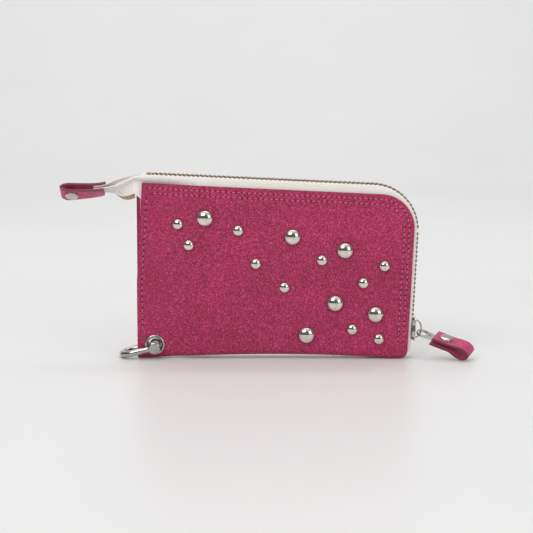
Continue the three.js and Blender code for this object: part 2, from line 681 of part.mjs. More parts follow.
/** A rivet's cap side: a domed cap with a hollow stem that holds the post. */
function rivetCap(reach) {
  const bore = RIVET_POST_RADIUS - 0.45;
  const rim = RIVET_CAP_RADIUS;
  return spun([
    [0, reach + 0.3], [bore, reach + 0.3], [bore, 0.6],
    [RIVET_POST_RADIUS, 0.6], [RIVET_POST_RADIUS, reach + FIT_GAP],
    [rim * 0.95, reach + FIT_GAP], [rim, reach + FIT_GAP + 0.25], [rim * 0.75, reach + FIT_GAP + 0.8],
    [rim * 0.4, reach + FIT_GAP + 1.05], [0, reach + FIT_GAP + RIVET_CAP_HEIGHT],
  ], 18);
}

/** A rivet's post side: a flat head with the pin that goes up into the cap. */
function rivetPost(reach) {
  const pin = RIVET_POST_RADIUS - 0.65;
  const rim = RIVET_CAP_RADIUS;
  return spun([
    [0, -reach - FIT_GAP - 0.7], [rim * 0.7, -reach - FIT_GAP - 0.65], [rim, -reach - FIT_GAP - 0.3],
    [rim * 0.95, -reach - FIT_GAP], [pin, -reach - FIT_GAP], [pin, reach], [0, reach],
  ], 18);
}

function rivetCutter(at) {
  const hole = new THREE.CylinderGeometry(RIVET_POST_RADIUS + FIT_GAP, RIVET_POST_RADIUS + FIT_GAP, 7, 12);
  return hole.rotateX(Math.PI / 2).translate(at, 0, 0);
}

const PIVOT_OUT = PLATE_OUT + SHEET_GAP + PIVOT_RISE;
const PIVOT = chainPlace(alongAtZ(SLIDER_TOP) + SLIDER_LENGTH / 2 + PIVOT_DOWN, PIVOT_OUT);

function chainPlace(along, out) {
  const { point, outward } = chainAt(along);
  return new THREE.Vector3(point.x + outward.x * out, 0, point.y + outward.y * out);
}

function addPullTab() {
  const hinge = new THREE.Group();
  hinge.position.copy(PIVOT);
  hinge.rotation.set(PULLER_ROLL, PULLER_PITCH, PULLER_YAW, 'ZYX');
  group.add(hinge);
  const pull = new THREE.Group();
  pull.position.y = PULLER_SIDEWAYS;
  hinge.add(pull);
  addPiece('puller', pullerGeometry(), polishedMetal, pull);
  const leather = subtractAll(strip(pullTabLine(), TAB_WIDTH, TAB_LEATHER, 30), [rivetCutter(PULL_RIVET_AT)]);
  addPiece('pull_tab_leather', leather, tabLeather, pull);
  const reach = PULLER_THICKNESS / 2 + TAB_GAP + TAB_LEATHER;
  for (const [name, shape] of [['pull_tab_rivet_cap', rivetCap], ['pull_tab_rivet_post', rivetPost]]) {
    const rivet = addPiece(name, shape(reach), polishedMetal, pull);
    rivet.position.x = PULL_RIVET_AT;
    rivet.rotation.x = Math.PI / 2;
  }
}

// ---- tail ----
/** A leather strip folded over the tail; its two layers lie on either side of the tapes. */
function tailTabGeometry() {
  const middle = TAIL_TAB_HALF_GAP + TAB_LEATHER / 2;
  const line = [
    [TAIL_TAB_END_X + 0.8, middle], [-26, middle], [-34, middle + 0.1], [TAIL_TAB_FOLD_X + 3.5, middle],
    [TAIL_TAB_FOLD_X + 0.7, 0.1], [TAIL_TAB_FOLD_X + 3.5, -middle],
    [-34, -middle - 0.1], [-26, -middle], [TAIL_TAB_END_X - 0.4, -middle],
  ];
  const curve = new THREE.SplineCurve(line.map(([x, y]) => new THREE.Vector2(x, y)));
  const stations = evenly(0, 1, 26).map((t) => {
    const centre = curve.getPoint(t);
    const tangent = curve.getTangent(t);
    return (up, along) => {
      const x = centre.x - tangent.y * up;
      return tailStation(x)(centre.y + tangent.x * up, along);
    };
  });
  const rise = TAB_LEATHER / 2;
  const lower = 0.4 - TAB_WIDTH;
  return sweep(polygon([[-rise, lower], [rise, lower], [rise, 0.4], [-rise, 0.4]]), stations);
}

function tailFrame(x, along) {
  const frame = new THREE.Object3D();
  frame.position.set(...tailStation(x)(0, along));
  frame.rotation.x = twistAt(x);
  frame.updateMatrix();
  return frame;
}

function addTail() {
  const frame = tailFrame(TAIL_RIVET_X, 0.4 - TAB_WIDTH / 2);
  const hole = new THREE.CylinderGeometry(RIVET_POST_RADIUS + FIT_GAP, RIVET_POST_RADIUS + FIT_GAP, 9, 12);
  const leather = subtractAll(tailTabGeometry(), [hole.applyMatrix4(frame.matrix)]);
  addPiece('tail_tab_leather', leather, tabLeather);
  const reach = TAIL_TAB_HALF_GAP + TAB_LEATHER + 0.15;
  for (const [name, shape] of [['tail_tab_rivet_cap', rivetCap], ['tail_tab_rivet_post', rivetPost]]) {
    const rivet = addPiece(name, shape(reach), polishedMetal);
    rivet.position.copy(frame.position);
    rivet.rotation.set(frame.rotation.x + Math.PI, 0, 0);
  }
  addPiece('tail_strip', tailStripGeometry(), tanLeather);
}

/** A strip between the two tapes; its lower edge shows below theirs. */
function tailStripGeometry() {
  const xs = evenly(TAIL_TAB_END_X + 2.4, TAIL_ROOT_X, 8);
  const tapeEdge = TAPE_DEPTH * TAIL_TAPE_WIDTH_SHARE;
  const stations = xs.map((x) => {
    const station = tailStation(x);
    const shows = TAIL_STRIP_SHOWS * Math.sin(Math.PI * between(x, xs[0], 2 * xs.at(-1) - xs[0])) ** 0.6;
    const lower = tapeEdge + 0.1 + shows;
    return (across, share) => station(across, -THREE.MathUtils.lerp(tapeEdge / 2, lower, -share));
  });
  const half = TAIL_STRIP / 2;
  return sweep(polygon([[-half, -1], [half, -1], [half, 0], [-half, 0]]), stations);
}

// ---- eyelet and shackle ----
function addEyelet() {
  const face = SEAM_INNER_HALF + LEATHER + SHEET_GAP;
  const outer = EYELET_BORE + EYELET_WALL;
  const grommet = spun([
    [EYELET_BORE, -face - 0.5], [outer, -face - 0.5], [outer, face], [EYELET_FLANGE_RADIUS - 0.2, face],
    [EYELET_FLANGE_RADIUS, face + 0.25], [EYELET_FLANGE_RADIUS - 0.7, face + EYELET_FLANGE],
    [EYELET_BORE + 0.5, face + EYELET_FLANGE], [EYELET_BORE, face + 0.3], [EYELET_BORE, -face - 0.5],
  ], 24);
  const washer = spun([
    [outer + 0.15, -face - 0.6], [EYELET_FLANGE_RADIUS - 0.2, -face - 0.6],
    [EYELET_FLANGE_RADIUS, -face - 0.3],
    [EYELET_FLANGE_RADIUS, -face], [outer + 0.15, -face], [outer + 0.15, -face - 0.6],
  ], 24);
  for (const [name, geometry] of [['eyelet', grommet], ['eyelet_washer', washer]]) {
    const mesh = addPiece(name, geometry, polishedMetal);
    mesh.position.set(EYELET_X, 0, EYELET_Z);
    mesh.rotation.z = Math.PI;
  }
}

const PIN_Z = EYELET_Z - SHACKLE_PIN_DROP;
const SHACKLE_REACH = SHACKLE_STRAIGHT + SHACKLE_HALF_SPREAD;
const SHACKLE_TILT = Math.asin((PIN_Z - SHACKLE_BAR_RADIUS - 0.05) / SHACKLE_REACH);

/** The bow: one bar bent round to two flat ears with holes for the pin. */
function shackleBow() {
  const spread = SHACKLE_HALF_SPREAD;
  const start = new THREE.Vector3(-2, -spread, 0);
  const bend = new THREE.Vector3(-SHACKLE_STRAIGHT, -spread, 0);
  const stations = [start, bend];
  for (let i = 1; i <= 11; i += 1) {
    const turn = (i / 12) * Math.PI;
    const reach = SHACKLE_STRAIGHT + spread * Math.sin(turn);
    stations.push(new THREE.Vector3(-reach, -spread * Math.cos(turn), 0));
  }
  stations.push(new THREE.Vector3(-SHACKLE_STRAIGHT, spread, 0), new THREE.Vector3(-2, spread, 0));
  const places = stations.map((centre, i) => {
    const before = stations[Math.max(i - 1, 0)];
    const after = stations[Math.min(i + 1, stations.length - 1)];
    const tangent = new THREE.Vector3().subVectors(after, before).normalize();
    return (side, up) => [centre.x - tangent.y * side, centre.y + tangent.x * side, up];
  });
  const round = Array.from({ length: 12 }, (_, i) => {
    const turn = (i / 12) * 2 * Math.PI;
    return [SHACKLE_BAR_RADIUS * Math.cos(turn), SHACKLE_BAR_RADIUS * Math.sin(turn)];
  });
  const bar = sweep(polygon(round.reverse()), places);
  const ears = [-1, 1].map((side) => rod(
    new THREE.Vector3(0, side * (spread - SHACKLE_EAR_THICKNESS / 2), 0),
    new THREE.Vector3(0, side * (spread + SHACKLE_EAR_THICKNESS / 2), 0),
    SHACKLE_EAR_RADIUS,
    20,
  ));
  const hole = rod(new THREE.Vector3(0, -20, 0), new THREE.Vector3(0, 20, 0), PIN_RADIUS + FIT_GAP, 14);
  return subtractAll(joinAll([bar, ...ears]), [hole]);
}

function shacklePin() {
  const outside = SHACKLE_HALF_SPREAD + SHACKLE_EAR_THICKNESS / 2;
  const head = outside + FIT_GAP;
  const pin = spun([
    [0, -outside - 0.6], [PIN_RADIUS - 0.3, -outside - 0.6], [PIN_RADIUS, -outside - 0.3], [PIN_RADIUS, head],
    [PIN_HEAD_RADIUS, head], [PIN_HEAD_RADIUS, head + PIN_HEAD_THICKNESS - 0.3],
    [PIN_HEAD_RADIUS - 0.5, head + PIN_HEAD_THICKNESS], [0, head + PIN_HEAD_THICKNESS],
  ], 20);
  const halfSlot = PIN_SLOT_WIDTH / 2;
  const slot = box([-5, head + 0.4, -halfSlot], [5, head + 3, halfSlot]);
  slot.rotateY(Math.PI / 4);
  return subtractAll(pin, [slot]);
}

function addShackle() {
  const shackle = new THREE.Group();
  shackle.position.set(EYELET_X, 0, PIN_Z);
  shackle.rotation.y = -SHACKLE_TILT;
  group.add(shackle);
  addPiece('shackle_bow', shackleBow(), polishedMetal, shackle);
  const pin = addPiece('shackle_pin', shacklePin(), polishedMetal, shackle);
  pin.rotation.z = Math.PI;
}

addLeather();
addLinings();
addCardSlots();
addTapes();
addTeeth();
addStops();
addSlider();
addPullTab();
addTail();
addEyelet();
addShackle();
addStuds();

// The origin is the middle of the whole object's box, at its lowest point.
const bounds = new THREE.Box3().setFromObject(group, true);
const middle = bounds.getCenter(new THREE.Vector3());
group.position.set(-middle.x, -middle.y, -bounds.min.z);

export default group;
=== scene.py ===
"""A studded leather wallet with an L-shaped zip, a pull tab, a tail tab and a screw shackle.

Lengths in this file are millimetres in the maker's frame: X along the fold from its left end,
Y away from the studs, Z up from the table. make_piece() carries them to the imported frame, in metres.
"""
import math

import bmesh
import bpy
from mathutils import Matrix, Vector
from mathutils.geometry import delaunay_2d_cdt


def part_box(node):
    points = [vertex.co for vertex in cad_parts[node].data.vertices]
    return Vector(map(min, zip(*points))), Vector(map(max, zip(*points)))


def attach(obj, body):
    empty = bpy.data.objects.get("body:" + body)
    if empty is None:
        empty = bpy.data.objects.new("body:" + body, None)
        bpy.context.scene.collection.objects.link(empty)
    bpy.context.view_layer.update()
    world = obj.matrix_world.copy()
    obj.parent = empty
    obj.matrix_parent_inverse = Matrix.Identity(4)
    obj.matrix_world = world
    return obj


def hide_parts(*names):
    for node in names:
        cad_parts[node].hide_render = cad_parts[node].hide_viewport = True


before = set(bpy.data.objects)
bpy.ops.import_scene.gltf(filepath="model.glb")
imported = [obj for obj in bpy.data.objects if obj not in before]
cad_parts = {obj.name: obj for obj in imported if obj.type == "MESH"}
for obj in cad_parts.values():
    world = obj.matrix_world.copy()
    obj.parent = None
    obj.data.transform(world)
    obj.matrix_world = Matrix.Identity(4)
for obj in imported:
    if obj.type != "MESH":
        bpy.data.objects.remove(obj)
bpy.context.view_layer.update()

MM = 0.001
LEATHER_LOW, LEATHER_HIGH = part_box("outer_leather")
ORIGIN = Vector((LEATHER_LOW.x, (LEATHER_LOW.y + LEATHER_HIGH.y) / 2, 0))

# ---- the wallet's own sizes, as in the CAD ----
FOLD_LENGTH = 152.3
LEFT_HEIGHT = 99.4
LEAN = math.radians(2.64)
CORNER_RADIUS = 19
FOOT_ROUNDING = 4
LEFT_LEAN_START = 43
LEFT_LEAN_SHIFT = 3.4
LEATHER = 1.6
INNER_HALF = 4.4
SEAM_INNER_HALF = 1.5
SEAM_WIDTH = 17
PINCH_WIDTH = 16
FOLD_INNER_RADIUS = 1.5
ARCH_RISE = 2.3
ARCH_FOOT = 10
ARCH_FADES_BY = 26

TAPE = 0.5
TAPE_DEPTH = 15
TAPE_OUTER = 4.2
TAPE_FOOT_Z = 3.7
TAPE_CLOSES_IN = (1.6, 4.2)
CHAIN_TOP_RISE = 4.5
CHAIN_SIDE_RISE = 1.4
CHAIN_CORNER_RADIUS = 25
CHAIN_HALF_WIDTH = 3
CHAIN_THICKNESS = 2.6
TOOTH_PITCH = 2.54
TOOTH_WIDTH = 1.25
FIRST_TOOTH_X = 9

LINING = 0.4
LINING_OUTER = 3.5
LINING_INSET = 2
LINING_FOOT_Z = 6.2
CARD_SHEET = 0.4
CARD_SLOT_LEFT = 38
CARD_SLOT_CORNER = 4
CARD_SLOT_WIDTH = FOLD_LENGTH - 14 - CARD_SLOT_LEFT
CARD_SLOT_TOPS = (LEFT_HEIGHT - 47.6, LEFT_HEIGHT - 59.6)

SLIDER_LENGTH = 13
SLIDER_FOOT = 10
SLIDER_TOP = SLIDER_FOOT + SLIDER_LENGTH
SLIDER_HALF_WIDTH = 5.2
PLATE_IN = 1.7
PLATE_OUT = 2.7
BRIDGE_HALF_LENGTH = 5.3
BRIDGE_HEIGHT = 3.7
BRIDGE_BAND = 0.8
BRIDGE_CROWN_WIDTH = 2.0
BRIDGE_FOOT_WIDTH = 2.9
BRIDGE_EDGE = 0.45
PIVOT_RISE = 1.2
PIVOT_DOWN = 2

PULLER_THICKNESS = 1.4
TAB_GAP = 0.35
PULLER_TURN = (math.radians(14), math.radians(17.5), math.radians(-22))
PULLER_SIDEWAYS = 0.9
TAB_LEATHER = 1.4
TAB_WIDTH = 11
PULL_RIVET_AT = 17
RIVET_CAP_RADIUS = 3.7
RIVET_POST_RADIUS = 1.2

TAIL_ROOT_X = -0.8
TAPE_FULL_X = 4.5
TAIL_TAB_FOLD_X = -43
TAIL_TAB_END_X = -18
TAIL_TAPE_END_X = -24
TAIL_TAB_HALF_GAP = 1.15
TAIL_TAPE_WIDTH_SHARE = 0.66
TAIL_STRIP = 0.6
TAIL_STRIP_SHOWS = 2.6
TAIL_RIVET_X = -36.5
TAIL_TWIST_AT_TAB = math.radians(70)
TAIL_TWIST_AT_FOLD = math.radians(52)
TAIL_RISES = ((-43, -7.2), (-26, -7.5), (-18, -6.8), (-12, -5.0), (-6, -2.8), (-0.8, -0.9))

EYELET_X, EYELET_Z = 9.8, 7.7
EYELET_BORE = 4
EYELET_FACE = SEAM_INNER_HALF + LEATHER
EYELET_FLANGE_RADIUS = 5.8

SHACKLE_BAR_RADIUS = 1.9
SHACKLE_PIN_DROP = 1.2
SHACKLE_HALF_SPREAD = 6.9
SHACKLE_STRAIGHT = 12.2
SHACKLE_EAR_RADIUS = 3.5
SHACKLE_EAR_THICKNESS = 4
PIN_RADIUS = 1.7
PIN_HEAD_RADIUS = 3.0

LARGE_STUD = {"radius": 4.5, "height": 3.5, "post": 1.2, "foot": 1.7}
SMALL_STUD = {"radius": 3.0, "height": 2.5, "post": 0.9, "foot": 1.4}
DOME_SPREAD = 1.06
# Places as shares of the fold's length and of the left end's height.
LARGE_STUD_PLACES = (
    (0.254, 0.803), (0.575, 0.697), (0.768, 0.62), (0.733, 0.32), (0.882, 0.256), (0.627, 0.138),
)
SMALL_STUD_PLACES = (
    (0.153, 0.768), (0.193, 0.65), (0.375, 0.733), (0.44, 0.545), (0.545, 0.41),
    (0.683, 0.565), (0.836, 0.435), (0.914, 0.532), (0.796, 0.17), (0.895, 0.115),
)

# ---- seams, which only this file has ----
SEAM_INSETS = (2.7, 5.6)
SEAM_PITCH = 2.95
LEFT_SEAM_INSET = 2.9
LEFT_SEAM_PITCH = 3.3
LEFT_SEAM_FOOT = 16
STITCH_LENGTH = 2.15
THREAD_RADIUS = 0.3
NEEDLE_HOLE_RADIUS = 0.5
SEAM_SUNK = 0.12
SEAM_PROUD = 0.24
LEFT_SEAM_PROUD = -0.02

TAN_LEAN = math.tan(LEAN)
LEFT_SIDE = Vector((-math.cos(LEAN), math.sin(LEAN)))
DOWN_SIDE = Vector((-math.sin(LEAN), -math.cos(LEAN)))


# ---- small sums ----
def clamp(value, low=0.0, high=1.0):
    return max(low, min(high, value))


def lerp(a, b, t):
    return a + (b - a) * t


def between(value, low, high):
    return clamp((value - low) / (high - low))


def ease(t):
    return t * t * (3 - 2 * t)


def evenly(start, end, count):
    return [lerp(start, end, i / count) for i in range(count + 1)]


def spline(points, t):
    """A point on the uniform Catmull-Rom curve through points, t from 0 to 1."""
    at = clamp(t) * (len(points) - 1)
    i = min(int(at), len(points) - 2)
    w = at - i
    p1, p2 = Vector(points[i]), Vector(points[i + 1])
    p0 = Vector(points[i - 1]) if i > 0 else p1
    p3 = Vector(points[i + 2]) if i + 2 < len(points) else p2
    v0, v1 = (p2 - p0) * 0.5, (p3 - p1) * 0.5
    a = 2 * p1 - 2 * p2 + v0 + v1
    b = -3 * p1 + 3 * p2 - 2 * v0 - v1
    return a * w ** 3 + b * w ** 2 + v0 * w + p1


# ---- the folded sheet's outline ----
def leather_corner():
    z = (LEFT_HEIGHT - (FOLD_LENGTH - LEFT_LEAN_SHIFT) * TAN_LEAN) / (1 + TAN_LEAN ** 2)
    return Vector((FOLD_LENGTH + z * TAN_LEAN, z))


CORNER = leather_corner()


def pinch_at(x):
    return (1 - between(x, SEAM_WIDTH, SEAM_WIDTH + PINCH_WIDTH)) * (INNER_HALF - SEAM_INNER_HALF)


def inner_half_at(x):
    """Half the gap between the panels, with its two bends rounded."""
    return INNER_HALF - sum(pinch_at(x + step) for step in (-1.5, -0.5, 0.5, 1.5)) / 4


def face_at(x):
    """How far the panels' outer faces stand from the middle."""
    return inner_half_at(x) + LEATHER


def foot_at(x):
    along = between(x, ARCH_FOOT, FOLD_LENGTH - ARCH_FOOT)
    return ARCH_RISE * math.sin(math.pi * along) ** 0.8


def edge_path(inset, leans, step=1.0):
    """Points along the top edge, round the corner and down the right edge, in from the edge."""
    centre = CORNER + CORNER_RADIUS * (LEFT_SIDE + DOWN_SIDE)
    radius = CORNER_RADIUS - inset
    corner = CORNER + inset * (LEFT_SIDE + DOWN_SIDE)
    left = (LEFT_LEAN_SHIFT if leans else 0) + inset
    start = Vector((left, corner.y + (corner.x - left) * TAN_LEAN))
    arc = [math.pi / 2 - LEAN - math.pi / 2 * i / 20 for i in range(21)]
    points = [start] + [centre + radius * Vector((math.cos(a), math.sin(a))) for a in arc]
    foot_z = FOOT_ROUNDING
    points.append(Vector((FOLD_LENGTH + foot_z * TAN_LEAN - inset, foot_z)))
    return resampled(points, step)


def resampled(points, step):
    """The same path with points an even way apart."""
    lengths = [0.0]
    for a, b in zip(points, points[1:]):
        lengths.append(lengths[-1] + (b - a).length)
    count = max(1, round(lengths[-1] / step))
    made, k = [], 0
    for i in range(count + 1):
        at = lengths[-1] * i / count
        while k < len(points) - 2 and lengths[k + 1] < at:
            k += 1
        share = (at - lengths[k]) / max(lengths[k + 1] - lengths[k], 1e-9)
        made.append(points[k].lerp(points[k + 1], clamp(share)))
    return made


# ---- making pieces ----
def put_in_scene(name, data):
    made = bpy.data.objects.new(name, data)
    bpy.context.scene.collection.objects.link(made)
    return made


def packed_mesh(name, shape):
    """A shape's mesh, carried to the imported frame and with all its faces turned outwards."""
    mesh = bpy.data.meshes.new(name)
    mesh.from_pydata([ORIGIN + Vector(p) * MM for p in shape.points], [], shape.faces)
    bm = bmesh.new()
    bm.from_mesh(mesh)
    bmesh.ops.recalc_face_normals(bm, faces=bm.faces)
    bm.to_mesh(mesh)
    bm.free()
    return mesh


def make_piece(name, body, shape, look, *replaces):
    """A smooth piece that rides on body, stands for CAD nodes and is painted by its look."""
    mesh = packed_mesh(name, shape)
    piece = put_in_scene(name, mesh)
    for material in LOOKS[look]:
        mesh.materials.append(material)
    mesh.shade_smooth()
    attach(piece, body)
    if replaces:
        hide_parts(*replaces)
    return piece


def add_bevel(piece, width, segments=3, angle=40, material=-1):
    bevel = piece.modifiers.new("bevel", "BEVEL")
    bevel.width = width * MM
    bevel.segments = segments
    bevel.limit_method = "ANGLE"
    bevel.angle_limit = math.radians(angle)
    bevel.harden_normals = True
    bevel.material = material


def bake_modifiers(piece):
    """Replaces the piece's mesh with what its modifiers make of it."""
    graph = bpy.context.evaluated_depsgraph_get()
    baked = bpy.data.meshes.new_from_object(piece.evaluated_get(graph))
    piece.modifiers.clear()
    piece.data = baked


def cast(piece, voxel, smoothing):
    """Melts a piece's overlapping shapes into one with soft fillets, as cast metal has."""
    remesh = piece.modifiers.new("remesh", "REMESH")
    remesh.mode = "VOXEL"
    remesh.voxel_size = voxel * MM
    remesh.use_smooth_shade = True
    smooth = piece.modifiers.new("smooth", "SMOOTH")
    smooth.factor = 0.5
    smooth.iterations = smoothing
    bake_modifiers(piece)


def cut_away(piece, shape):
    """Cuts a closed shape out of the piece."""
    cutter = put_in_scene("cutter", packed_mesh("cutter", shape))
    boolean = piece.modifiers.new("cut", "BOOLEAN")
    boolean.operation = "DIFFERENCE"
    boolean.solver = "EXACT"
    boolean.object = cutter
    bake_modifiers(piece)
    bpy.data.objects.remove(cutter)


class Shape:
    """Collects the points, in millimetres, and the faces of one mesh."""

    def __init__(self, points=(), faces=()):
        self.points = list(points)
        self.faces = list(faces)

    def add(self, points, faces):
        start = len(self.points)
        self.points.extend(points)
        self.faces.extend([tuple(start + i for i in face) for face in faces])
        return self

    def tube(self, rings):
        """Rings of points joined in a tube with flat ends."""
        sides = len(rings[0])
        faces = []
        for k in range(len(rings) - 1):
            for i in range(sides):
                j = (i + 1) % sides
                low, high = k * sides, (k + 1) * sides
                faces.append((low + i, low + j, high + j, high + i))
        faces.append(tuple(range(sides)))
        faces.append(tuple((len(rings) - 1) * sides + i for i in range(sides)))
        return self.add([p for ring in rings for p in ring], faces)

    def lathe(self, profile, matrix, sides=48):
        """A closed profile of (radius, height) pairs spun about the frame's own Y."""
        rings = []
        for i in range(sides):
            a = 2 * math.pi * i / sides
            rings.append([matrix @ Vector((r * math.cos(a), y, r * math.sin(a))) for r, y in profile])
        count = len(profile)
        faces = []
        for i in range(sides):
            j = (i + 1) % sides
            for k in range(count):
                n = (k + 1) % count
                if profile[k][0] < 1e-6 and profile[n][0] < 1e-6:
                    continue
                faces.append((i * count + k, i * count + n, j * count + n, j * count + k))
        return self.add([p for ring in rings for p in ring], faces)

    def plate(self, outline, holes, low, high, place):
        """A flat outline with holes, given thickness and put in place by place(x, y, z)."""
        flat, triangles = filled(outline, holes)
        count = len(flat)
        points = [place(x, y, low) for x, y in flat] + [place(x, y, high) for x, y in flat]
        faces = [tuple(reversed(t)) for t in triangles]
        faces += [tuple(count + i for i in t) for t in triangles]
        at = 0
        for loop in [outline, *holes]:
            for i in range(len(loop)):
                a, b = at + i, at + (i + 1) % len(loop)
                faces.append((a, b, count + b, count + a))
            at += len(loop)
        return self.add(points, faces)


def inside(point, loop):
    x, y = point
    crossed = False
    for i in range(len(loop)):
        (ax, ay), (bx, by) = loop[i], loop[i - 1]
        if (ay > y) != (by > y) and x < (bx - ax) * (y - ay) / (by - ay) + ax:
            crossed = not crossed
    return crossed


def filled(outline, holes, inner=()):
    """Triangles that fill an outline round its holes. The points keep their order."""
    loops = [outline, *holes]
    points = [Vector(p) for loop in loops for p in loop] + [Vector(p) for p in inner]
    edges, at = [], 0
    for loop in loops:
        edges += [(at + i, at + (i + 1) % len(loop)) for i in range(len(loop))]
        at += len(loop)
    made, _, triangles, origins, _, _ = delaunay_2d_cdt(points, edges, [], 0, 1e-6)
    first = [o[0] for o in origins]
    kept = []
    for t in triangles:
        centre = sum((made[i] for i in t), Vector((0, 0))) / 3
        if inside(centre, outline) and not any(inside(centre, hole) for hole in holes):
            kept.append(tuple(first[i] for i in t))
    return [tuple(p) for p in points], kept


def rounded_section(half_a, half_b, radius, steps=4):
    """A rounded rectangle's points, anticlockwise from the lower right corner."""
    points = []
    for k, (a, b) in enumerate(((1, -1), (1, 1), (-1, 1), (-1, -1))):
        for i in range(steps + 1):
            turn = math.pi / 2 * (k - 1 + i / steps)
            points.append((
                a * (half_a - radius) + radius * math.cos(turn),
                b * (half_b - radius) + radius * math.sin(turn),
            ))
    return points


def circle(radius, sides, centre=(0, 0)):
    turns = [2 * math.pi * i / sides for i in range(sides)]
    return [(centre[0] + radius * math.cos(a), centre[1] + radius * math.sin(a)) for a in turns]


def quarter(centre, radii, start, end, steps):
    """Profile points on an ellipse's arc, angles in degrees."""
    turns = [math.radians(lerp(start, end, i / steps)) for i in range(steps + 1)]
    return [(centre[0] + radii[0] * math.cos(a), centre[1] + radii[1] * math.sin(a)) for a in turns]


# ---- materials ----
def srgb(red, green, blue):
    """A linear colour from 0 to 255 display values."""
    def linear(value):
        share = value / 255
        return share / 12.92 if share <= 0.04045 else ((share + 0.055) / 1.055) ** 2.4
    return (linear(red), linear(green), linear(blue), 1)


def set_sockets(node, sockets):
    """Sets a node's inputs by name, with _ for each space."""
    for key, value in sockets.items():
        node.inputs[key.replace("_", " ")].default_value = value


def fill_ramp(ramp, stops):
    while len(ramp.elements) < len(stops):
        ramp.elements.new(0.5)
    for element, (position, colour) in zip(ramp.elements, stops):
        element.position = position
        element.color = colour


class Paint:
    """One procedural material, built up node by node on a Principled shader."""

    def __init__(self, name, roughness=0.5, metallic=0.0, **sockets):
        self.material = bpy.data.materials.new(name)
        self.material.use_nodes = True
        self.tree = self.material.node_tree
        self.shader = self.tree.nodes["Principled BSDF"]
        set_sockets(self.shader, {"Roughness": roughness, "Metallic": metallic, **sockets})
        self.where = self.tree.nodes.new("ShaderNodeTexCoord").outputs["Object"]

    def link(self, source, target):
        self.tree.links.new(source, target)

    def node(self, kind, **sockets):
        made = self.tree.nodes.new("ShaderNode" + kind)
        set_sockets(made, sockets)
        return made

    def stretched(self, scale):
        mapping = self.node("Mapping", Scale=scale)
        self.link(self.where, mapping.inputs["Vector"])
        return mapping.outputs["Vector"]

    def noise(self, size, detail=2.0, roughness=0.5, distortion=0.0, where=None):
        """Noise whose grain is about size millimetres."""
        scale = 1 / (size * MM)
        node = self.node("TexNoise", Scale=scale, Detail=detail, Roughness=roughness, Distortion=distortion)
        self.link(where or self.where, node.inputs["Vector"])
        return node.outputs["Fac"]

    def cells(self, size, output="Distance", feature="F1"):
        node = self.node("TexVoronoi", Scale=1 / (size * MM))
        node.feature = feature
        self.link(self.where, node.inputs["Vector"])
        return node.outputs[output]

    def wave(self, size, axis, distortion=0.0):
        """Ribs that repeat every size millimetres along an axis."""
        node = self.node("TexWave", Scale=math.pi / 10 / (size * MM), Distortion=distortion)
        node.bands_direction = axis
        self.link(self.where, node.inputs["Vector"])
        return node.outputs["Fac"]

    def sum(self, operation, a, b):
        node = self.node("Math")
        node.operation = operation
        self.feed(node.inputs, (a, b))
        return node.outputs[0]

    def feed(self, sockets, values):
        """Sets each socket to its number or colour, or links another node's output to it."""
        for socket, value in zip(sockets, values):
            if isinstance(value, (int, float, tuple)):
                socket.default_value = value
            else:
                self.link(value, socket)

    def ramp(self, value, stops):
        node = self.node("ValToRGB")
        fill_ramp(node.color_ramp, stops)
        self.link(value, node.inputs["Fac"])
        return node.outputs["Color"]

    def mix(self, share, a, b, blend="MIX"):
        node = self.node("Mix")
        node.data_type = "RGBA"
        node.blend_type = blend
        self.feed((node.inputs[0], node.inputs[6], node.inputs[7]), (share, a, b))
        return node.outputs[2]

    def colour(self, value):
        self.link(value, self.shader.inputs["Base Color"])
        return self

    def rough(self, value, low, high):
        node = self.node("MapRange", To_Min=low, To_Max=high)
        self.link(value, node.inputs["Value"])
        self.link(node.outputs["Result"], self.shader.inputs["Roughness"])
        return self

    def bump(self, *layers):
        """Height layers, each (value, millimetres)."""
        normal = None
        for value, height in layers:
            node = self.node("Bump", Strength=1, Distance=height * MM)
            self.link(value, node.inputs["Height"])
            if normal is not None:
                self.link(normal, node.inputs["Normal"])
            normal = node.outputs["Normal"]
        self.link(normal, self.shader.inputs["Normal"])
        return self


def gray(value):
    return (value, value, value, 1)


def crinkled_leather():
    """Pink leather with a fine crinkle, lighter on its ridges and darker in its creases as painted
    highlight and painted shade over the leather's own tone, and a scatter of glitter flakes whose sparkle
    is painted as pale specks.
    """
    paint = Paint("pink_leather", Sheen_Weight=0.06, Sheen_Roughness=0.5)
    fine = paint.noise(0.6, detail=3, roughness=0.55, distortion=0.5)
    creases = paint.cells(0.9, feature="SMOOTH_F1")
    crinkle = paint.sum("ADD", paint.sum("MULTIPLY", fine, 0.76), paint.sum("MULTIPLY", creases, 0.24))
    # The crinkle's height also sets the colour: painted shade in the creases and painted highlight on the
    # ridges, over the leather's own grain tone.
    tone = paint.ramp(crinkle, [
        (0.36, srgb(104, 8, 44)), (0.45, srgb(156, 20, 76)),
        (0.54, srgb(178, 32, 90)), (0.64, srgb(208, 72, 126)),
    ])
    patches = paint.ramp(paint.noise(30, detail=2), [(0.32, gray(0.82)), (0.68, gray(1.0))])
    grain_tone_and_crease_shade = paint.mix(1.0, tone, patches, "MULTIPLY")
    # Glitter flakes: their glints are painted as pale pink specks in the base colour.
    flecks = paint.cells(0.6, "Color")
    glitter_glints = paint.ramp(flecks, [(0.84, gray(0)), (0.9, gray(1))])
    paint.colour(paint.mix(paint.sum("MULTIPLY", glitter_glints, 0.25), grain_tone_and_crease_shade, srgb(226, 134, 172)))
    paint.rough(crinkle, 0.78, 0.5)
    return paint.bump((crinkle, 0.11), (fine, 0.03)).material


def burnished_edge():
    """The dark waxed rim of cut leather."""
    paint = Paint("burnished_edge", Coat_Weight=0.2, Coat_Roughness=0.3)
    fibres = paint.noise(0.6, detail=3)
    paint.colour(paint.ramp(fibres, [(0.3, srgb(84, 14, 34)), (0.7, srgb(132, 30, 62))]))
    return paint.rough(fibres, 0.5, 0.35).bump((fibres, 0.06)).material


